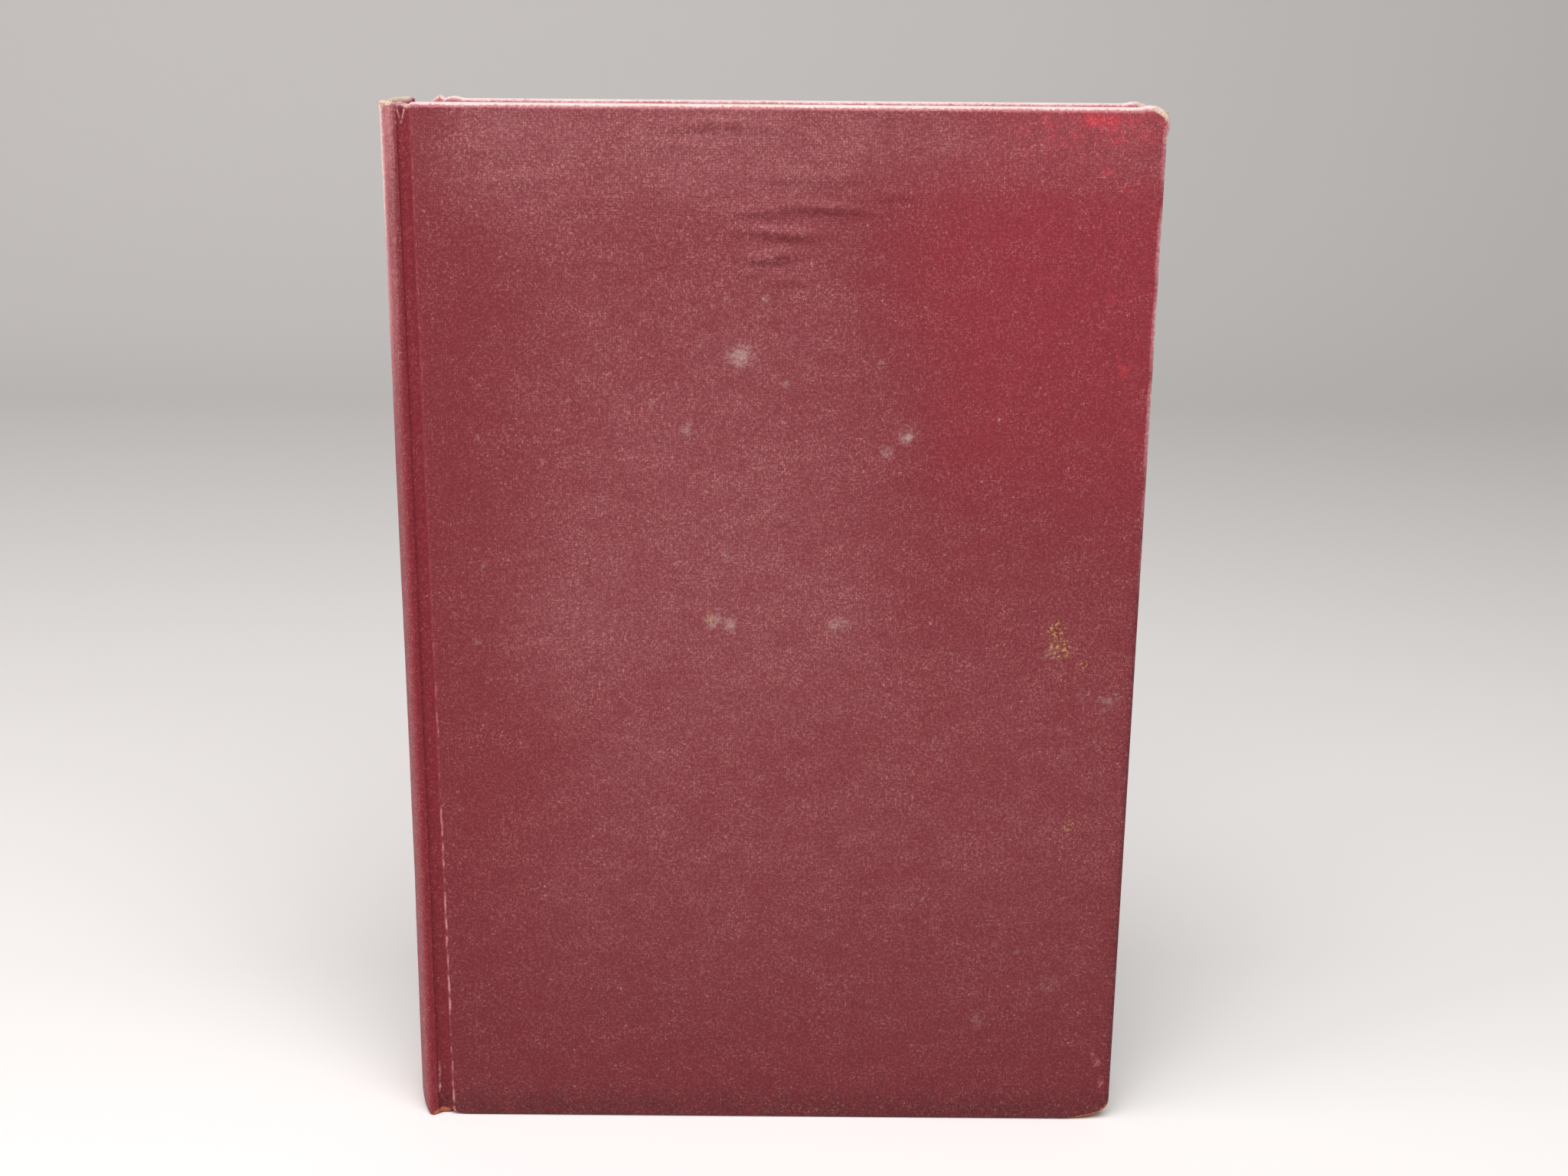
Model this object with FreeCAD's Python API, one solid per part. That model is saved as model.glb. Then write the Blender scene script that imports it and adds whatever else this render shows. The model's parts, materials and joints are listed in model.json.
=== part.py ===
import FreeCAD, Part
import math
import os

# A cased-in hardback book standing on its tail, closed.
# X runs from the spine to the fore edge, -Y is the way the front cover faces, and Z runs from
# the tail to the head. The origin is the centre of the overall size, on the surface it stands on.

# The leaves: trimmed size, thickness of the whole block, and its rounded and backed spine
leaf_height = 234.0
leaf_width = 159.6
block_thickness = 15.0
shoulder_height = 2.5
shoulder_run = 3.2
spine_rise = 2.8
fore_edge_hollow = 3.0

# The sheets that the case and the linings are made of
board_thickness = 2.6
cloth_thickness = 0.35
endpaper_thickness = 0.2
mull_thickness = 0.25
lining_thickness = 0.25
glue_line = 0.03
inlay_thickness = 0.5

# How the case sits on the leaves
square = 3.0
opening_clearance = 0.3
hollow_gap = 0.5
joint_width = 3.8
joint_depth = 1.2
joint_floor_start = 1.9
joint_clearance = 0.3
crest_proud = 0.3
crest_radius = 0.5
inlay_edge_gap = 1.2
joint_fold_radius = 0.7
edge_round = 0.7

# Turn-ins, flanges and linings on the inside
turn_in = 15.0
mull_flange = 25.0
mull_short = 12.0
lining_half_angle = 26.5
band_bead_radius = 0.9

# Bumped and worn corners of the covers, each as (run along X, rise along Z)
front_corners = {
    "spine_head": (1.2, 1.0),
    "fore_head": (2.6, 2.6),
    "fore_tail": (10.8, 4.1),
    "spine_tail": (4.0, 1.6),
}
back_corners = {
    "spine_head": (9.0, 3.5),
    "fore_head": (3.0, 3.0),
    "fore_tail": (2.4, 2.4),
    "spine_tail": (2.0, 1.4),
}
spine_head_wear = (2.0, 1.0)
spine_tail_wear = (4.6, 6.2)

# Levels in Y, counted outwards from the middle of the leaves
block_half = block_thickness / 2
flyleaf_face = block_half + endpaper_thickness
pastedown_face = flyleaf_face + opening_clearance
turn_in_face = pastedown_face + endpaper_thickness
board_inner = turn_in_face + cloth_thickness
board_outer = board_inner + board_thickness
cover_face = board_outer + cloth_thickness
shoulder_tip = block_half + shoulder_height

# Radii of the spine's layers about one centre
block_radius = (shoulder_tip**2 + spine_rise**2) / (2 * spine_rise)
mull_radius = block_radius + mull_thickness
lining_inner = mull_radius + glue_line
lining_radius = lining_inner + lining_thickness
inlay_inner = lining_radius + hollow_gap
inlay_outer = inlay_inner + inlay_thickness
spine_radius = inlay_outer + cloth_thickness
tip_angle = math.asin(shoulder_tip / block_radius)
crest_angle = math.asin((cover_face + crest_proud) / spine_radius)
inlay_angle = crest_angle - inlay_edge_gap / spine_radius

# Places in X, with the overall width centred on the origin
tip_from_centre = -block_radius * math.cos(tip_angle)
overall_width = tip_from_centre + leaf_width + square + spine_radius
spine_centre_x = spine_radius - overall_width / 2
apex_x = spine_centre_x - spine_radius
tip_x = spine_centre_x + tip_from_centre
shoulder_base_x = tip_x + shoulder_run
leaf_edge_x = tip_x + leaf_width
fore_edge_x = leaf_edge_x + square
crest_x = spine_centre_x - spine_radius * math.cos(crest_angle)
board_edge_x = crest_x + joint_width

# Places in Z
cover_height = leaf_height + 2 * square
leaf_tail = square
leaf_head = square + leaf_height

FRONT = -1
BACK = 1


def point(x, y, z=0.0):
    return FreeCAD.Vector(x, y, z)


def line(a, b):
    return Part.LineSegment(a, b).toShape()


def arc(a, middle, b):
    return Part.Arc(a, middle, b).toShape()


def face_of(edges):
    return Part.Face(Part.Wire(edges))


def raise_up(face, bottom, top):
    """A flat XY face made into a prism between two heights."""
    lifted = face.translated(point(0, 0, bottom))
    return lifted.extrude(point(0, 0, top - bottom))


def block_between(x0, x1, y0, y1, z0, z1):
    """A square-edged block from its two limits along each axis."""
    low_y = min(y0, y1)
    return Part.makeBox(x1 - x0, abs(y1 - y0), z1 - z0, point(x0, low_y, z0))


def spine_point(radius, angle):
    """A point at that radius and angle from the spine's centre; angle 0 is the apex."""
    return point(spine_centre_x - radius * math.cos(angle), radius * math.sin(angle))


def ring_face(inner, outer, half_angle):
    """The part of a ring about the spine's centre between two radii, both sides of the apex."""
    return face_of([
        arc(spine_point(outer, -half_angle), spine_point(outer, 0), spine_point(outer, half_angle)),
        line(spine_point(outer, half_angle), spine_point(inner, half_angle)),
        arc(spine_point(inner, half_angle), spine_point(inner, 0), spine_point(inner, -half_angle)),
        line(spine_point(inner, -half_angle), spine_point(outer, -half_angle)),
    ])


def corner_edge(start, corner, end):
    """A quarter of an ellipse that rounds off a square corner."""
    curve = Part.BezierCurve()
    curve.setPoles([start, corner, end])
    curve.setWeight(2, math.sqrt(0.5))
    return curve.toShape()


def outline(x0, x1, z0, z1, corners, inset):
    """An upright face in XZ with elliptical corners, all of it drawn in by inset."""
    square_corners = {
        "spine_tail": (x0 + inset, z0 + inset, 1, 1),
        "fore_tail": (x1 - inset, z0 + inset, -1, 1),
        "fore_head": (x1 - inset, z1 - inset, -1, -1),
        "spine_head": (x0 + inset, z1 - inset, 1, -1),
    }
    rounds = []
    for name, (x, z, x_sign, z_sign) in square_corners.items():
        run = max(corners[name][0] - inset, inset)
        rise = max(corners[name][1] - inset, inset)
        on_level = point(x + x_sign * run, 0, z)
        on_upright = point(x, 0, z + z_sign * rise)
        ends = (on_upright, on_level) if x_sign == z_sign else (on_level, on_upright)
        rounds.append((ends[0], point(x, 0, z), ends[1]))
    edges = []
    for current, following in zip(rounds, rounds[1:] + rounds[:1]):
        edges.append(corner_edge(*current))
        edges.append(line(current[2], following[0]))
    return face_of(edges)


def slab(face, side, inner, outer):
    """An upright XZ face made into a slab between two levels on one side of the leaves."""
    return face.translated(point(0, side * inner, 0)).extrude(point(0, side * (outer - inner), 0))


def rims(solid, *levels):
    """The edges of a slab that lie flat at any of those Y levels."""
    return [
        edge for edge in solid.Edges
        for level in levels
        if abs(edge.BoundBox.YMin - level) < 1e-4 and abs(edge.BoundBox.YMax - level) < 1e-4
    ]


def text_block():
    """The sewn leaves, rounded and backed: a round spine with shoulders and a hollow fore edge."""
    reach, drop = shoulder_run, shoulder_height
    flare_radius = (reach**2 + drop**2) / (2 * drop)
    half_turn = math.asin(reach / flare_radius) / 2

    def flare(side):
        base = point(shoulder_base_x, side * block_half)
        tip = point(tip_x, side * shoulder_tip)
        middle = point(
            shoulder_base_x - flare_radius * math.sin(half_turn),
            side * (block_half + flare_radius * (1 - math.cos(half_turn))),
        )
        return base, middle, tip

    front_base, front_middle, front_tip = flare(FRONT)
    back_base, back_middle, back_tip = flare(BACK)
    front_corner = point(leaf_edge_x, -block_half)
    back_corner = point(leaf_edge_x, block_half)
    section = face_of([
        line(front_corner, front_base),
        arc(front_base, front_middle, front_tip),
        arc(front_tip, spine_point(block_radius, 0), back_tip),
        arc(back_tip, back_middle, back_base),
        line(back_base, back_corner),
        arc(back_corner, point(leaf_edge_x - fore_edge_hollow, 0), front_corner),
    ])
    return raise_up(section, leaf_tail, leaf_head)


def flyleaf(side):
    """The free half of an endpaper, lying on the leaves."""
    return block_between(
        shoulder_base_x, leaf_edge_x,
        side * block_half, side * flyleaf_face,
        leaf_tail, leaf_head,
    )


def mull():
    """Open-weave cloth glued over the backed spine, short of head and tail."""
    section = ring_face(block_radius, mull_radius, tip_angle)
    return raise_up(section, leaf_tail + mull_short, leaf_head - mull_short)


def spine_lining():
    """Kraft paper glued over the mull, between the two bands."""
    section = ring_face(lining_inner, lining_radius, math.radians(lining_half_angle))
    return raise_up(section, leaf_tail + mull_short, leaf_head - mull_short)


def band(end, inward):
    """A headband or tailband: a bead along the edge of the spine, on a skirt glued down it."""
    half_angle = math.radians(lining_half_angle)
    bead_line = lining_radius - band_bead_radius
    bead_level = end - inward * band_bead_radius
    start = spine_point(bead_line, -half_angle) + point(0, 0, bead_level)
    bead = Part.makeTorus(
        bead_line, band_bead_radius,
        point(spine_centre_x, 0, bead_level), point(0, 0, 1), -180, 180,
        math.degrees(2 * half_angle),
    )
    start_turn = 180 - lining_half_angle
    bead.rotate(point(spine_centre_x, 0, bead_level), point(0, 0, 1), start_turn)
    skirt_section = ring_face(block_radius, lining_radius, half_angle)
    skirt_ends = sorted((end + inward * mull_short, start.z))
    skirt = raise_up(skirt_section, *skirt_ends)
    return bead.fuse(skirt).removeSplitter()


def spine_envelope(inset):
    """What the worn ends leave of the case's spine, drawn in by inset."""
    corners = {
        "spine_head": spine_head_wear,
        "spine_tail": spine_tail_wear,
        "fore_head": (joint_width, joint_width),
        "fore_tail": (joint_width, joint_width),
    }
    far_side = board_edge_x + 2 * joint_width
    face = outline(apex_x, far_side, 0, cover_height, corners, inset)
    reach = 2 * spine_radius
    return face.translated(point(0, -reach, 0)).extrude(point(0, 2 * reach, 0))


def spine_inlay():
    """The strip of card that stiffens the case's spine."""
    section = ring_face(inlay_inner, inlay_outer, inlay_angle)
    return raise_up(section, 0, cover_height).common(spine_envelope(cloth_thickness))


def spine_skin():
    """The cloth round the spine and pressed into both joints, as one section with its folds."""
    floor = cover_face - joint_depth
    fold_x = crest_x + joint_floor_start
    end_x = board_edge_x - joint_clearance
    slope = math.atan2(cover_face + crest_proud - floor, fold_x - crest_x)
    crest_turn = math.pi / 2 - crest_angle + slope
    under_angle = crest_angle - cloth_thickness * math.tan(crest_turn / 2) / spine_radius
    inner_fold_x = fold_x - cloth_thickness * math.tan(slope / 2)

    def strip_outline(side):
        outer = [
            spine_point(spine_radius, side * crest_angle),
            point(fold_x, side * floor),
            point(end_x, side * floor),
        ]
        inner = [
            point(end_x, side * (floor - cloth_thickness)),
            point(inner_fold_x, side * (floor - cloth_thickness)),
            spine_point(inlay_outer, side * under_angle),
        ]
        corners = outer + inner
        return corners, [line(a, b) for a, b in zip(corners, corners[1:])]

    front, front_edges = strip_outline(FRONT)
    back, back_edges = strip_outline(BACK)
    section = face_of(
        front_edges
        + [arc(front[-1], spine_point(inlay_outer, 0), back[-1])]
        + back_edges[::-1]
        + [arc(back[0], spine_point(spine_radius, 0), front[0])]
    )
    return raise_up(section, 0, cover_height)


def spine_cloth():
    """The book cloth over the spine, turned in at head and tail, with the two joints."""
    turned_in = inlay_inner - cloth_thickness
    inside = raise_up(ring_face(turned_in, inlay_outer, inlay_angle), 0, cover_height)
    opening = raise_up(ring_face(turned_in, inlay_inner, inlay_angle), turn_in, cover_height - turn_in)
    wrap = spine_skin().fuse(inside).common(spine_envelope(0))
    cloth = wrap.cut([opening, spine_inlay()]).removeSplitter()
    folds = upright_edges(cloth, crest_x, cover_face + crest_proud)
    cloth = cloth.makeFillet(crest_radius, folds)
    folds = upright_edges(cloth, crest_x + joint_floor_start, cover_face - joint_depth)
    return cloth.makeFillet(joint_fold_radius, folds)


def upright_edges(solid, x, level):
    """The long upright edges at that X, at that level on both sides of the leaves."""
    return [
        edge for edge in solid.Edges
        if abs(edge.BoundBox.XMin - x) < 1e-3
        and abs(edge.BoundBox.XMax - x) < 1e-3
        and abs(abs(edge.BoundBox.YMin) - level) < 1e-3
        and edge.BoundBox.ZLength > cover_height / 2
    ]


def board(side, corners):
    """A stiff board with slightly eased edges and its worn corners."""
    face = outline(board_edge_x, fore_edge_x, 0, cover_height, corners, cloth_thickness)
    plain = slab(face, side, board_inner, board_outer)
    eased = edge_round - cloth_thickness
    return plain.makeFillet(eased, rims(plain, side * board_inner, side * board_outer))


def cover_cloth(side, corners):
    """Cloth over one board: its face, its four edges, and turn-ins on three of them."""
    face = outline(board_edge_x, fore_edge_x, 0, cover_height, corners, 0)
    whole = slab(face, side, turn_in_face, cover_face)
    whole = whole.makeFillet(edge_round, rims(whole, side * cover_face))
    window = block_between(
        board_edge_x - cloth_thickness, fore_edge_x - turn_in,
        side * turn_in_face, side * board_inner,
        turn_in, cover_height - turn_in,
    )
    return whole.cut([board(side, corners), window])


def mull_flange_on(side):
    """The flap of the mull that is glued to the inside of the board."""
    return block_between(
        board_edge_x + cloth_thickness + eased_edge(), board_edge_x + mull_flange,
        side * board_inner, side * (board_inner - mull_thickness),
        leaf_tail + mull_short, leaf_head - mull_short,
    )


def eased_edge():
    """How far the flat of a board's inside starts from its edge."""
    return edge_round - cloth_thickness


def pastedown(side):
    """The glued half of an endpaper: it dips from the turn-ins to the board, over the flange."""
    start = board_edge_x + cloth_thickness + eased_edge()
    paper = endpaper_thickness

    def layer(x0, x1, height, z0, z1):
        return block_between(x0, x1, side * board_inner, side * (board_inner - height), z0, z1)

    window_x = fore_edge_x - turn_in
    window_tail, window_head = turn_in, cover_height - turn_in
    flange_x = board_edge_x + mull_flange
    flange_tail, flange_head = leaf_tail + mull_short, leaf_head - mull_short
    rim_height = cloth_thickness + paper
    sheet = layer(start, leaf_edge_x, rim_height, leaf_tail, leaf_head)
    dip = layer(start, window_x - paper, rim_height, window_tail + paper, window_head - paper)
    floor = layer(start, window_x - paper, paper, window_tail + paper, window_head - paper)
    over_flange = layer(
        start, flange_x + paper, mull_thickness + paper,
        window_tail + paper, window_head - paper,
    )
    sheet = sheet.cut(dip).fuse([floor, over_flange]).removeSplitter()
    under_rim = layer(start, leaf_edge_x, cloth_thickness, leaf_tail, leaf_head).cut(
        layer(start, window_x, cloth_thickness, window_tail, window_head)
    )
    flange = layer(start, flange_x, mull_thickness, flange_tail, flange_head)
    return sheet.cut([under_rim, flange])


def save(name, shape):
    solids = shape.Solids
    assert solids and shape.isValid(), name
    kept = solids[0] if len(solids) == 1 else Part.makeCompound(solids)
    kept.exportStep(os.path.join("parts", name + ".step"))
    print(f"{name}: {len(solids)} solid, {kept.Volume / 1000:.3f} cm3")


os.makedirs("parts", exist_ok=True)
save("text_block", text_block())
save("mull", mull())
save("spine_lining", spine_lining())
save("headband", band(leaf_head, -1))
save("tailband", band(leaf_tail, 1))
save("spine_inlay", spine_inlay())
save("spine_cloth", spine_cloth())
for cover, cover_side, wear in (("front", FRONT, front_corners), ("back", BACK, back_corners)):
    save(f"{cover}_board", board(cover_side, wear))
    save(f"{cover}_cloth", cover_cloth(cover_side, wear))
    save(f"{cover}_mull_flange", mull_flange_on(cover_side))
    save(f"{cover}_pastedown", pastedown(cover_side))
    save(f"{cover}_flyleaf", flyleaf(cover_side))
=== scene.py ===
# %% [markdown]
# # A cloth-bound hardback book
# The book is a case binding: two boards and a strip of card held together by one piece of book
# cloth, wrapped round sewn leaves. The solids of every piece come in as a fixed frame, each in its
# real place. This lesson dresses them: first the camera and the light, then the finishes, then the
# pieces that need a finer shape than the solids have, which are the cloth, the leaves and the bands.

# %% Load the frame
import bpy
import json
import math
import numpy as np
from mathutils import Matrix, Vector, noise


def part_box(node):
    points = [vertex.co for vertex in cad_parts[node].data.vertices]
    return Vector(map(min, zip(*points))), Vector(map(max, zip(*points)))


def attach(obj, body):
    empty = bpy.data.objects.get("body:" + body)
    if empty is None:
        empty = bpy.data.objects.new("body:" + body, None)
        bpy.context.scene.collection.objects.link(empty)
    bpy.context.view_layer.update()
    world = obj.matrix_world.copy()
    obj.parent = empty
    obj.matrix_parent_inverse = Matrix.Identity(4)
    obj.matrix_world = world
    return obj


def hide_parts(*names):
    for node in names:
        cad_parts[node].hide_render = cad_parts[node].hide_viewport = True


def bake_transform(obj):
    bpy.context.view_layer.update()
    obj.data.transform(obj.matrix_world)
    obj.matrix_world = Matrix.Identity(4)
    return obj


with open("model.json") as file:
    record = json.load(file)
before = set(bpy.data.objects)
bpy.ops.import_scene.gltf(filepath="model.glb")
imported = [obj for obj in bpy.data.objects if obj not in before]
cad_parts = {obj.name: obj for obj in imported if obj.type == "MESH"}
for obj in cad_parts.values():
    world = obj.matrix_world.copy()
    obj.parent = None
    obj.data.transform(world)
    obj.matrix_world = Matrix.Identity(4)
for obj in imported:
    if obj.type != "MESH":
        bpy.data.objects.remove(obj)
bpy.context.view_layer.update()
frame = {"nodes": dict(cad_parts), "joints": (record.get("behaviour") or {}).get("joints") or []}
MM = 0.001

# %% [markdown]
# ## The sizes that the dressing has to follow
# Everything below sits on the solids, so their boxes are read once, in millimetres. "Level" is the
# distance from the middle of the leaves, the same on both sides, so one shape serves both covers.
# The round of the spine is worked out from its rise and its width, as a bookbinder would.

# %% Sizes from the solids
cover_low, cover_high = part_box("front_cloth")
board_edge, fore_edge = cover_low.x / MM, cover_high.x / MM
cover_face, turn_in_level = -cover_low.y / MM, -cover_high.y / MM
height = cover_high.z / MM
width = fore_edge - board_edge
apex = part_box("spine_cloth")[0].x / MM
hinge = frame["joints"][0]["pos_m"]
hinge_x, groove_level = hinge[0] / MM, -hinge[1] / MM
crest = hinge_x - 0.5
crest_level = cover_face + 0.3
rise = crest - apex
spine_radius = (rise**2 + crest_level**2) / (2 * rise)
spine_centre = apex + spine_radius
cloth_thickness = 0.35
board_depth = cover_face - turn_in_level
print(f"board {width:.1f} x {height:.1f}, spine radius {spine_radius:.2f}, groove at {groove_level:.2f}")

# %% [markdown]
# ## The camera
# The camera stands a little above the book's head and looks down at the front cover. Its place,
# tilt and lens were fitted to the four corners of the board, so the edges converge as they should.

# %% Camera
camera_place = Vector((3.65, -436.3, 258.9)) * MM
camera_pitch, camera_roll = math.radians(16.32), math.radians(0.458)
lens_mm = 45.23
forward = Vector((0, math.cos(camera_pitch), -math.sin(camera_pitch)))
level_right = Vector((1, 0, 0))
level_up = level_right.cross(forward)
right = level_right * math.cos(camera_roll) + level_up * math.sin(camera_roll)
up = level_up * math.cos(camera_roll) - level_right * math.sin(camera_roll)
camera_data = bpy.data.cameras.new("camera")
camera_data.lens = lens_mm
camera_data.sensor_width = 36
camera_data.clip_start = 0.01
camera = bpy.data.objects.new("camera", camera_data)
camera.matrix_world = Matrix.Translation(camera_place) @ Matrix((right, up, -forward)).transposed().to_4x4()
bpy.context.scene.collection.objects.link(camera)
bpy.context.scene.camera = camera
bpy.context.scene.view_settings.view_transform = "Standard"
print("camera", [round(c / MM) for c in camera_place], "mm")

# %% [markdown]
# ## Colours and nodes
# Colours are written as they are seen, in sRGB hex, and one function turns them to the linear
# values that shaders work in. One more function adds a node, sets it up and links it. A finish is
# a base colour under layers, each as strong as the product of some fields, because that is how
# wear lies on the real thing: dust on the high points, and only where dust falls.

# %% Helpers for materials
def linear(hex_colour):
    """The linear colour of an sRGB hex value."""
    values = [int(hex_colour[i:i + 2], 16) / 255 for i in (1, 3, 5)]
    return [v / 12.92 if v <= 0.04045 else ((v + 0.055) / 1.055) ** 2.4 for v in values] + [1.0]


def add(tree, kind, *values, **named):
    """Adds a node and gives its outputs. Values go to its inputs in order; a name with a capital is
    an input too, any other name is a setting. A list links all its sockets to one input."""
    node = tree.nodes.new(kind)
    for name, value in named.items():
        if name[0].islower():
            setattr(node, name, value)
    inputs = [(k, value) for k, value in enumerate(values) if value is not None]
    inputs += [(name.replace("_", " "), value) for name, value in named.items() if name[0].isupper()]
    for key, value in inputs:
        for one in value if isinstance(value, list) else [value]:
            if isinstance(one, bpy.types.NodeSocket):
                tree.links.new(one, node.inputs[key])
            else:
                node.inputs[key].default_value = linear(one) if str(one).startswith("#") else one
    return node.outputs


def product(tree, *factors):
    """The factors multiplied. A tuple is a value, the range it is read from and the range it is
    spread over, clamped, with soft ends."""
    result = None
    for factor in factors:
        if isinstance(factor, tuple):
            ends = factor if len(factor) == 5 else (*factor, 0.0, 1.0)
            factor = add(tree, "ShaderNodeMapRange", *ends, interpolation_type="SMOOTHSTEP")[0]
        if result is not None:
            factor = add(tree, "ShaderNodeMath", result, factor, operation="MULTIPLY")[0]
        result = factor
    return result


def weighted(tree, base, *terms):
    """The base plus every term, each a weight and a field."""
    for weight, field in terms:
        base = add(tree, "ShaderNodeMath", field, weight, base, operation="MULTIPLY_ADD")[0]
    return base


def layered(tree, base, *layers, way="MIX"):
    """The base colour under its layers, each a colour and the factors that make up its strength."""
    skipped = [None] * 5
    for above, *factors in layers:
        base = add(
            tree, "ShaderNodeMix", product(tree, *factors), *skipped, base, above,
            data_type="RGBA", blend_type=way,
        )[2]
    return base


def material(name, *fields):
    """A new material: its tree, its place in millimetres, and its noise fields, each given by
    features per mm, detail, roughness, distortion and a stretch of the place."""
    made = bpy.data.materials.new(name)
    made.use_nodes = True
    tree = made.node_tree
    tree.nodes.clear()
    place = add(tree, "ShaderNodeTexCoord")["Object"]
    place = add(tree, "ShaderNodeVectorMath", place, operation="SCALE", Scale=1 / MM)[0]
    noises = []
    for given in fields:
        scale, detail, roughness, distortion, stretch = (*given, *(2.0, 0.5, 0.0, None)[len(given) - 1:])
        vector = place
        if stretch:
            vector = add(tree, "ShaderNodeVectorMath", place, stretch, operation="MULTIPLY")[0]
        noises.append(add(
            tree, "ShaderNodeTexNoise", Vector=vector, Scale=scale, Detail=detail,
            Roughness=roughness, Distortion=distortion,
        )["Fac"])
    return made, tree, place, noises


def dress(tree, colour, rough, specular=0.5, bump=None):
    """The surface itself, with its relief as (strength, depth in mm, height field)."""
    relief = {}
    if bump:
        strength, depth_mm, field = bump
        relief["Normal"] = add(
            tree, "ShaderNodeBump", Strength=strength, Distance=depth_mm * MM, Height=field,
        )[0]
    surface = add(
        tree, "ShaderNodeBsdfPrincipled", Base_Color=colour, Roughness=rough,
        Specular_IOR_Level=specular, **relief,
    )
    add(tree, "ShaderNodeOutputMaterial", surface[0])


print("white is", linear("#FFFFFF"))

# %% [markdown]
# ## Book cloth
# Book cloth is cotton filled with starch and colour, then rolled so that its threads sink into a
# fine pebbled grain. That makes a matt surface with a low sheen. Where hands and shelves rub it,
# the colour leaves the high points first, so the grain that raises the surface also decides where
# the pale fibre shows through. The marks are painted on the mesh as attributes, because they
# belong to places on this book, and some of them are painted light: rubbing along the edges, with
# painted highlight on the lit head and upper fore edge, on creases and on the upper sides of folds;
# the dusty bloom, with painted sheen near the head; a fresher red at the top right and the brightest
# red near the head, both partly painted light; the sheltered joint; painted shade, darker towards
# the tail, along the lower fore edge, on the lower sides of folds and in tears; mildew, the gilt
# flecks, and tan and bare where the cloth has worn thin or gone.

# %% Book cloth
GRAIN_MM = 0.55        # one pebble of the rolled grain, a little coarser than real so that it shows
THREAD_MM = 0.55       # thread spacing, also drawn slightly coarse
# Some of these colours stand for light: the dusty pink also paints sheen, the fresh red and the vivid red
# partly paint light from above, the deep red paints shade, and the rubbed pink and the pale fibre also paint
# highlight on lit edges.
CLOTH_RED, FRESH_AND_LIT_RED, CLOTH_VIVID = "#80202B", "#982534", "#C83A48"
DUSTY_SHEEN_PINK, CLOTH_SUNK, PAINTED_SHADE_RED = "#9A5257", "#962835", "#5E191F"
RUBBED_AND_LIT_PINK, FIBRE_PINK, PALE_FIBRE_AND_HIGHLIGHT = "#CF8589", "#D18F8B", "#F8DEDA"
BARE_CREAM, BARE_STRAW, BARE_TUFT, BARE_TAN = "#EFDCCF", "#DCCA98", "#B98A6C", "#C87350"
DUST_SPECK, DUST_DOT, MILDEW_GREY, GILT_OLD = "#DFA9A4", "#E8C3B2", "#C9A8A2", "#C39A55"
MARKS = ("veil", "fresh", "rub", "sunk", "bare", "tan", "soot", "mildew", "gilt", "vivid")


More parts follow.
